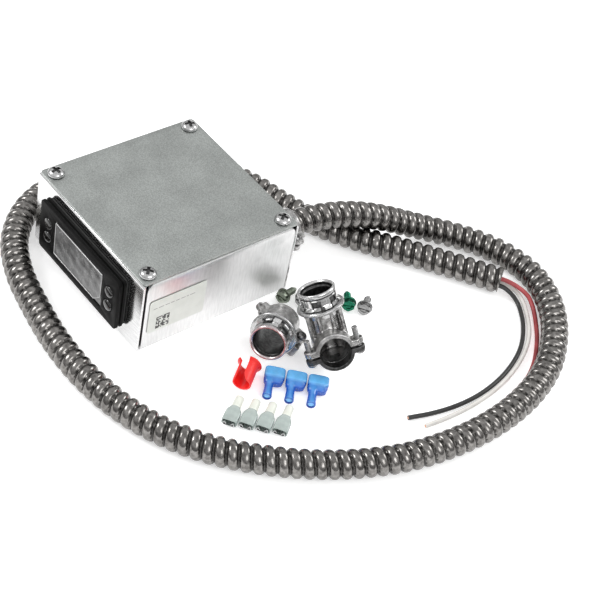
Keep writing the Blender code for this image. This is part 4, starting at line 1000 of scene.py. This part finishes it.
def makeThroat(name, place, rim, lipFinish, stands, tail):
    # turned throat with its rim lip, neck and collar; stands names the body whose front it is
    outer, bore, neck = throat["outer"] / 2 * mm, throat["bore"] / 2 * mm, throat["neckRadius"] * mm
    lip, collar, body = throat["lip"] * mm, throat["collar"] / 2 * mm, throat["body"] * mm
    seat = rim - throat["neck"] * mm
    outline = [(bore + 0.9 * mm, rim - 0.1 * mm), (outer - 0.5 * mm, rim), (outer, rim - 0.7 * mm),
               (outer, rim - lip + 0.5 * mm), (neck, rim - lip), (neck, seat), (collar - 0.9 * mm, seat),
               (collar, seat - 0.5 * mm), (collar, seat - 1.5 * mm), (collar - 0.7 * mm, seat - 1.9 * mm),
               (body, seat - 2.7 * mm), (body, seat - tail), (bore - 0.4 * mm, seat - tail),
               (bore - 0.4 * mm, rim - 3.2 * mm), (bore + 0.2 * mm, rim - 2.4 * mm), (bore + 0.2 * mm, rim - mm)]
    soft = roundOff(outline + [outline[0]], 0.3 * mm)[:-1]
    piece = lathe(name, soft, place, 96, ring=True)
    finishPiece(piece, "zinc", stands, angle=50)
    paintInside(piece, lipFinish, place, outer + mm, low=rim - 1.1 * mm)
    # painted shade on the neck behind the snap ring and down the bore
    paintInside(piece, "darkCast", place, neck + 0.15 * mm, seat - 0.1 * mm, rim - lip + 0.2 * mm)
    paintInside(piece, "darkCast", place, bore + 0.6 * mm, high=rim - 0.9 * mm)
    return seat


def makeSpringRing(node, place, rim, seat):
    # snap-in ring of spring steel: windows between its legs, and its foot spread into tangs
    spec = springRing
    top, foot = rim - (throat["lip"] + 0.3) * mm, seat + 0.35 * mm
    low, high = spec["windowSpan"]
    bm = bmesh.new()
    rows = []
    for row in range(spec["rows"] + 1):
        share = row / spec["rows"]
        ring = []
        for side in range(spec["sides"]):
            phase = side * spec["windows"] / spec["sides"] % 1.0
            tang = 1.0 if phase > spec["windowShare"] else 0.35
            flare = spec["flare"] * mm * max(0.0, (0.42 - share) / 0.42) ** 1.6 * tang
            reach = spec["inner"] * mm + flare + 0.12 * mm * math.sin(share * math.pi)
            angle = 2 * math.pi * side / spec["sides"]
            ring.append(bm.verts.new((reach * math.cos(angle), reach * math.sin(angle), foot + (top - foot) * share)))
        rows.append(ring)
    for row in range(spec["rows"]):
        share = (row + 0.5) / spec["rows"]
        for side in range(spec["sides"]):
            phase = (side + 0.5) * spec["windows"] / spec["sides"] % 1.0
            window = low < share < high and phase < spec["windowShare"]
            slit = share <= low and (phase < spec["slit"] or abs(phase - spec["windowShare"]) < spec["slit"])
            if window or slit:
                continue
            after = (side + 1) % spec["sides"]
            bm.faces.new((rows[row][side], rows[row][after], rows[row + 1][after], rows[row + 1][side]))
    bmesh.ops.delete(bm, geom=[v for v in bm.verts if not v.link_faces], context="VERTS")
    ring = linkMesh(node + "Fine", bm, place)
    thicken(ring, spec["thick"] * mm, 1)
    bake(ring)
    finishPiece(ring, "snap", (node,), angle=40)


def makeBoxConnector():
    x, z = (value * mm for value in sheetBox["exit"])
    place = aim((x, sheetBox["depth"] / 2 * mm, z), (0, -1, 0))
    outer, bore, collar = throat["outer"] / 2 * mm, 6.7 * mm, throat["collar"] / 2 * mm
    outline = [(outer - 0.7 * mm, 7.5 * mm)]
    for number in range(7):
        turn = 6.6 * mm - number * 0.95 * mm
        outline += [(outer, turn), (outer - 0.4 * mm, turn - 0.5 * mm)]
    outline += [(outer - 0.4 * mm, -0.3 * mm), (collar, -0.3 * mm), (collar, -2.3 * mm), (bore, -2.5 * mm),
                (bore, 7 * mm)]
    front = lathe("boxConnectorThroat", outline, place, 72, ring=True)
    finishPiece(front, "cast", ("box_connector_body",), bevel=0.1 * mm)
    gripPlace = place @ Matrix.Translation((0, 0, -2.3 * mm))
    lower = clampHalf("boxConnectorBody", gripPlace, 12.5 * mm, True)
    combine(lower, "DIFFERENCE", [rod("bore", grip["bore"] / 2 * mm, 12.5 * mm, (0, 0, -6.5 * mm), place=gripPlace)])
    castPiece(lower, "cast", ("box_connector_body",))
    strap = clampHalf("boxConnectorStrap", gripPlace @ Matrix.Translation((0, 0, -0.5 * mm)), 12 * mm, False)
    castPiece(strap, "cast", ("box_connector_strap",))
    for node, side in (("box_connector_screw_left", -1), ("box_connector_screw_right", 1)):
        earScrew(node, gripPlace, side, 12.5 * mm, 9)
    refined("box_connector_locknut", "zinc", 0.3 * mm)
    print("box connector")


straightConnector = {"rim": (91.5, 2.7, 17.9), "axis": (0.54, -0.81, 0.22), "side": (0.35, 0.2, 1),
                     "tail": 17.0, "grip": 12.0, "boss": (8.0, 6.4)}
angleConnector = {"corner": (102.3, 37.1, 13.5), "throat": (-0.5, -0.11, 0.86), "mouth": (0.84, -0.47, 0.27),
                  "rim": 31.0, "grip": 7.4, "root": 11.0}


def makeStraightConnector():
    spec = straightConnector
    place = aim(Vector(spec["rim"]) * mm, spec["axis"], spec["side"])
    seat = makeThroat("straightThroat", place, 0.0, "rimCast", ("straight_connector_body",), 5.2 * mm)
    makeSpringRing("straight_connector_snap_ring", place, 0.0, seat)
    length, tail = spec["grip"] * mm, seat - spec["tail"] * mm
    gripPlace = place @ Matrix.Translation((0, 0, tail + length))
    shell = rod("straightBody", grip["shell"] * mm, length + 1.2 * mm, (0, 0, (1.2 * mm - length) / 2), place=gripPlace)
    wide, reach = (value * mm for value in spec["boss"])
    bossAt = ((grip["ear"] / 2 + 4) * mm, -3.4 * mm, -length / 2)
    boss = box("straightBoss", (grip["ear"] * mm - 8 * mm, wide, length), bossAt, gripPlace, upright=(2, 1.5 * mm))
    knob = rod("straightKnob", reach / 2, wide, (grip["screw"] * mm, -3.4 * mm, -length / 2), axis="Y", place=gripPlace)
    combine(shell, "UNION", [boss, knob])
    bore = rod("straightBore", grip["bore"] / 2 * mm, 6 * length, (0, 0, 0), place=gripPlace, sides=72)
    outer = grip["shell"] * mm
    upper = box("straightUpper", (4 * outer, 2 * outer, 2 * length), (0, outer - grip["gap"] / 2 * mm, -length),
                gripPlace)
    hole = rod("straightHole", grip["hole"] / 2 * mm, 30 * mm, (grip["screw"] * mm, 0, -length / 2), axis="Y",
               place=gripPlace)
    combine(shell, "DIFFERENCE", [bore, upper, hole])
    castPiece(shell, "cast", ("straight_connector_body",))
    # painted shade down the bore
    paintInside(shell, "darkCast", gripPlace, grip["bore"] / 2 * mm + 0.3 * mm)
    strapPlace = gripPlace @ Matrix.Translation((0, 0, -0.3 * mm))
    castPiece(clampHalf("straightStrap", strapPlace, length - 0.6 * mm, False), "cast", ("straight_connector_strap",))
    earScrew("straight_connector_screw", gripPlace, 1, length, 8)
    print("straight connector")


def makeAngleConnector():
    spec = angleConnector
    place = aim(Vector(spec["corner"]) * mm, spec["throat"], spec["mouth"])
    rim = spec["rim"] * mm
    seat = makeThroat("angleThroat", place, rim, "tinned", ("angle_connector_body",), 5 * mm)
    makeSpringRing("angle_connector_snap_ring", place, rim, seat)
    outer, bore, root = grip["shell"] * mm, grip["bore"] / 2 * mm, spec["root"] * mm
    waist, shoulder, heel = outer - 0.9 * mm, seat - 2 * mm, 2.8 * mm
    outline = [(0, shoulder), (waist, shoulder), (waist, heel - outer), (waist - heel, -outer), (0, -outer)]
    column = lathe("angleBody", roundOff(outline, mm), place)
    parts = []
    for side in (-1, 1):
        ribAt = (side * (outer - 1.8 * mm), outer - 4.6 * mm, (seat - 2 * mm) / 2)
        finAt = (side * 3.6 * mm, outer - 1.6 * mm, (seat - 4 * mm) / 2 + 3 * mm)
        parts.append(box("angleRib", (2 * mm, 5 * mm, seat - 2 * mm), ribAt, place, rounded=0.4 * mm))
        parts.append(box("angleFin", (1.6 * mm, 3 * mm, seat - 4 * mm), finAt, place, rounded=0.4 * mm))
    turn = Matrix(((-1, 0, 0), (0, 0, -1), (0, -1, 0))).to_4x4()
    mouthPlace = place @ turn
    parts.append(rod("angleMouth", outer - 0.4 * mm, root, (0, 0, -root / 2), place=mouthPlace))
    gripPlace = mouthPlace @ Matrix.Translation((0, 0, 0.3 * mm - root))
    length = spec["grip"] * mm
    parts.append(clampHalf("angleGrip", gripPlace, length, True, root=0.5 * mm))
    combine(column, "UNION", parts)
    cutters = [rod("angleWell", bore - mm, rim + outer, (0, 0, (rim - outer) / 2 + 2.5 * mm), place=place),
               rod("angleBore", bore, 2 * length + root, (0, 0, -length - root / 2), place=mouthPlace, sides=72)]
    combine(column, "DIFFERENCE", cutters)
    castPiece(column, "cast", ("angle_connector_body",))
    # painted shade down the mouth's bore and in the throat's well
    paintInside(column, "darkCast", mouthPlace, bore + 0.3 * mm, high=-2 * mm)
    paintInside(column, "darkCast", place, bore - 0.7 * mm, low=0)
    strapPlace = gripPlace @ Matrix.Translation((0, 0, -0.6 * mm))
    castPiece(clampHalf("angleStrap", strapPlace, length - 0.3 * mm, False), "darkCast", ("angle_connector_strap",))
    for node, side in (("angle_connector_screw_left", 1), ("angle_connector_screw_right", -1)):
        earScrew(node, gripPlace, side, length, 14)
    print("right-angle connector")


# the red bushing for the conduit's cut end: a split sleeve with a flange
bushing = {"at": (90.6, -6.2, 7.2), "axis": (-0.58, 0.8, 0.12), "side": (-0.6, -0.3, 1), "bore": 4.25, "wall": 0.8,
           "length": 14.0, "flange": 1.9, "flangeFrom": 0.86, "slit": 62, "shorten": 4.0, "shortenWithin": 0.13,
           "sink": 0.3, "edge": 0.2, "steps": (64, 30)}


def makeBushing():
    spec = bushing
    place = aim(Vector(spec["at"]) * mm, spec["axis"], spec["side"])
    around, along = spec["steps"]
    half = math.radians(spec["slit"] / 2)
    bm = bmesh.new()
    rows = []
    for row in range(along + 1):
        share = row / along
        line = []
        for step in range(around + 1):
            swing = step / around
            angle = math.pi / 2 + half + (2 * math.pi - 2 * half) * swing
            shorten = spec["shorten"] * max(0.0, 1 - min(swing, 1 - swing) / spec["shortenWithin"]) ** 2
            length = (spec["length"] - shorten) * mm
            flare = max(0.0, (share - spec["flangeFrom"]) / (1 - spec["flangeFrom"])) ** 1.4
            reach = (spec["bore"] + spec["flange"] * flare) * mm
            z = length * (share - 1) - spec["sink"] * mm
            line.append(bm.verts.new((reach * math.cos(angle), reach * math.sin(angle), z)))
        rows.append(line)
    skinRows(bm, rows)
    sleeve = linkMesh("bushingSleeve", bm, place)
    thicken(sleeve, spec["wall"] * mm, 1)
    bevelEdges(sleeve, spec["edge"] * mm, 50)
    bake(sleeve)
    finishPiece(sleeve, "bushing", ("conduit_bushing",), angle=50)
    print("bushing")


# loose terminals and screws: a place on the floor for each, then its shape in its own frame
# a loft's section is (place along Y, width, height, lift, squareness)
flagRow = {"start": (102.5, 1.5), "row": (0.7, 0.714), "pitch": 11.6, "turn": 0, "count": 3, "voxel": 0.2,
           "hood": [(-1.9, 8.6, 4.4, 3.0, 3), (-1.5, 10.2, 5.6, 3.1, 4), (-0.9, 11.0, 6.2, 3.2, 5),
                    (1.0, 11.2, 6.3, 3.2, 5), (4.4, 11.0, 6.1, 3.2, 5), (5.0, 10.4, 5.7, 3.2, 5),
                    (5.25, 9.4, 4.9, 3.2, 5)],
           "skirt": [(-5.2, 4.6, 2.6, 2.5, 3), (-4.9, 7.2, 3.9, 2.6, 3), (-4.2, 9.2, 4.5, 2.6, 3.5),
                     (-2.5, 10.2, 4.8, 2.7, 4), (-1.0, 10.4, 5.0, 2.8, 4)],
           "neckSide": -2.2,
           "neck": [(-14.2, 4.8, 4.8, 2.65, 2), (-13.8, 5.15, 5.15, 2.75, 2), (-12.5, 5.0, 5.0, 2.75, 2),
                    (-8, 4.6, 4.6, 2.75, 2), (-5.4, 4.9, 4.9, 2.85, 2), (-4.4, 6.2, 4.8, 2.9, 2.4),
                    (-2, 6.8, 4.8, 2.9, 2.6)],
           "bore": (1.75, 8), "boreAt": (-12.6, 2.7), "lining": (1.7, 0.2, -2), "liningAt": (-13.4, 2.7),
           "mouth": (8.4, 3, 3.4), "mouthAt": (0, 5.2, 3.2), "seam": (16, 0.35, 2), "seamAt": (0, -1.35, 6.6)}
clearRow = {"start": (112.6, -33.5), "row": (0.69, 0.72), "pitch": 8.7, "turn": -11, "count": 4,
            "housing": [(5.6, 5.4, 4.7, 2.55, 2.4), (5.2, 5.6, 4.8, 2.5, 2.6), (4.2, 6.6, 4.7, 2.45, 3.4),
                        (3.1, 7.7, 4.6, 2.4, 4), (1.5, 8.1, 4.6, 2.35, 4.5), (-3.5, 8.2, 4.5, 2.3, 4.5),
                        (-4.7, 8.0, 4.3, 2.3, 4.5), (-4.9, 7.6, 3.9, 2.3, 4.5), (-4.7, 6.7, 3.1, 2.3, 4),
                        (0.5, 6.5, 3.0, 2.3, 4)],
            "barrel": [(5.3, 4.6, 4.4, 2.5, 2.1), (6.4, 5.0, 4.9, 2.55, 2), (10, 4.9, 4.9, 2.55, 2),
                       (12.6, 5.0, 5.0, 2.6, 2), (13.0, 4.7, 4.7, 2.6, 2), (12.9, 3.7, 3.7, 2.6, 2),
                       (9, 3.4, 3.4, 2.6, 2)]}
receptacle = {"half": 2.15, "curl": 0.95, "lift": 2.35, "steps": 15, "turn": 21, "tighten": 0.02, "run": (-5.9, 0),
              "thick": 0.3}
looseScrews = {"hex_screw_1": ((57.4, 42.4), (0.25, -0.97), "darkScrew", "screw_green"),
               "hex_screw_2": ((64.2, 50.2), (0.5, -0.8), "dullZinc", "zinc"),
               "hex_screw_3": ((79.5, 70.7), (0.8, -0.6), "greenScrew", "screw_green"),
               "hex_screw_4": ((86.4, 77.0), (0.6, -0.8), "dullZinc", "zinc")}
hexScrew = {"washer": 8.6, "across": 6.4, "height": 3.4, "shank": 4.0, "length": 11, "slot": 1.0}


def rowPlaces(spec):
    way = Vector((*spec["row"], 0)).normalized()
    spin = Matrix.Rotation(math.atan2(way.y, way.x) + math.radians(spec["turn"]), 4, "Z")
    start = Vector((*spec["start"], 0.15)) * mm
    return [Matrix.Translation(start + way * spec["pitch"] * mm * number) @ spin for number in range(spec["count"])]


def ovalSection(width, height, lift, y, power, count=40):
    # a rounded-box section in local XZ at one place along Y; a higher power is squarer
    points = []
    for number in range(count):
        a = 2 * math.pi * number / count
        c, s = math.cos(a), math.sin(a)
        points.append(Vector((math.copysign(abs(c) ** (2 / power), c) * width / 2, y,
                              lift + math.copysign(abs(s) ** (2 / power), s) * height / 2)))
    return points


def loft(name, rows, place, aside=0.0):
    bm = bmesh.new()
    rings = []
    for y, width, height, lift, power in rows:
        section = ovalSection(width * mm, height * mm, lift * mm, y * mm, power)
        rings.append([bm.verts.new(point + Vector((aside * mm, 0, 0))) for point in section])
    skinRings(bm, rings)
    bmesh.ops.recalc_face_normals(bm, faces=bm.faces)
    return linkMesh(name, bm, place)


def makeFlagTerminals():
    spec = flagRow
    boreRadius, boreLength = (value * mm for value in spec["bore"])
    liningRadius, front, back = (value * mm for value in spec["lining"])
    boreAt, liningAt = (Vector((spec["neckSide"], *spec[name])) * mm for name in ("boreAt", "liningAt"))
    for number, place in enumerate(rowPlaces(spec)):
        node = f"flag_terminal_{number + 1}"
        hood = loft(node + "Hood", spec["hood"], place)
        skirt = loft(node + "Skirt", spec["skirt"], place)
        neck = loft(node + "Neck", spec["neck"], place, spec["neckSide"])
        combine(hood, "UNION", [skirt, neck])
        cutters = [rod("barrelBore", boreRadius, boreLength, boreAt, axis="Y", place=place, sides=32)]
        for name in ("mouth", "seam"):
            cutters.append(box(name, Vector(spec[name]) * mm, Vector(spec[name + "At"]) * mm, place))
        combine(hood, "DIFFERENCE", cutters)
        castPiece(hood, "blue", (node,), spec["voxel"])
        lining = roundOff([(0, front), (liningRadius, front), (liningRadius, back), (0, back)], 0.2 * mm)
        plug = lathe(node + "BarrelLining", lining, place @ aim(liningAt, (0, -1, 0)), 32)
        finishPiece(plug, "blueEnd")
    print("flag terminals")


def makeClearTerminals():
    for number, place in enumerate(rowPlaces(clearRow)):
        node = f"nylon_terminal_{number + 1}"
        housing = loft(node + "Housing", clearRow["housing"], place)
        finishPiece(housing, "clear", (node,), angle=50)
        barrel = loft(node + "Barrel", clearRow["barrel"], place)
        finishPiece(barrel, "clearEnd", angle=50)
        makeReceptacle(node, place)
    print("clear terminals")


def makeReceptacle(node, place):
    # flat tinned tab with both edges rolled over, set in a terminal's mouth
    spec = receptacle
    edges = []
    for side in (-1, 1):
        curl = []
        for step in range(spec["steps"]):
            a = math.radians(-90 + side * step * spec["turn"])
            reach = spec["curl"] * (1 - spec["tighten"] * step)
            curl.append((side * spec["half"] + reach * math.cos(a), spec["lift"] + reach * math.sin(a)))
        edges.append(curl)
    profile = list(reversed(edges[0])) + edges[1]
    bm = bmesh.new()
    rows = [[bm.verts.new((x * mm, y * mm, z * mm)) for x, z in profile] for y in spec["run"]]
    skinRows(bm, rows)
    tab = linkMesh(node + "Receptacle", bm, place)
    thicken(tab, spec["thick"] * mm, 0)
    bake(tab)
    finishPiece(tab, "tinned", angle=50)


def makeLooseScrews():
    spec = hexScrew
    washer, shank, length = spec["washer"] / 2 * mm, spec["shank"] / 2 * mm, spec["length"] * mm
    tilt = math.asin((washer - shank) / length)
    for node, ((x, y), way, finish, slotName) in looseScrews.items():
        axis = Vector((*way, 0)).normalized() * math.cos(tilt) + Vector((0, 0, math.sin(tilt)))
        place = aim((x * mm, y * mm, washer * math.cos(tilt) + 0.15 * mm), axis)
        outline = roundOff([(0, mm), (washer * 0.7, 0.95 * mm), (washer * 0.93, 0.7 * mm), (washer, 0.3 * mm),
                            (washer, 0), (shank, 0)], 0.25 * mm)
        outline += threaded(shank, 1.4 * mm - length, -0.4 * mm) + [(shank * 0.5, -length), (0, -length)]
        screw = lathe(node + "Fine", outline, place, 64)
        hexagon = spec["across"] / math.sqrt(3) * mm
        head = rod("hexHead", hexagon, spec["height"] * mm, (0, 0, spec["height"] / 2 * mm), place=place, sides=6)
        dome = rod("hexDome", spec["across"] / 2 * 1.06 * mm, 6 * mm, (0, 0, 3 * mm - mm), place=place)
        combine(head, "INTERSECT", [dome])
        combine(screw, "UNION", [head])
        hollow = [(0, 2.4 * mm), (spec["across"] * 0.33 * mm, 2.4 * mm), (spec["across"] * 0.28 * mm, 0),
                  (0, -0.2 * mm)]
        dimple = lathe("dimple", hollow, place @ Matrix.Translation((0, 0, (spec["height"] - 0.5) * mm)), 32)
        slot = box("slot", (2 * washer, spec["slot"] * mm, 2.4 * mm), (0, 0, (spec["height"] + 0.1) * mm), place)
        combine(screw, "DIFFERENCE", [dimple, slot])
        finishPiece(screw, finish, (node,), bevel=0.08 * mm)
    print("loose screws")


makeCamera()
makeStudio()
finishes = makeFinishes()
makeConduit()
makeConductors()
makeBox()
makeCover()
makeFace()
makeLabel()
makeInside()
makeBoxConnector()
makeStraightConnector()
makeAngleConnector()
makeBushing()
makeFlagTerminals()
makeClearTerminals()
makeLooseScrews()
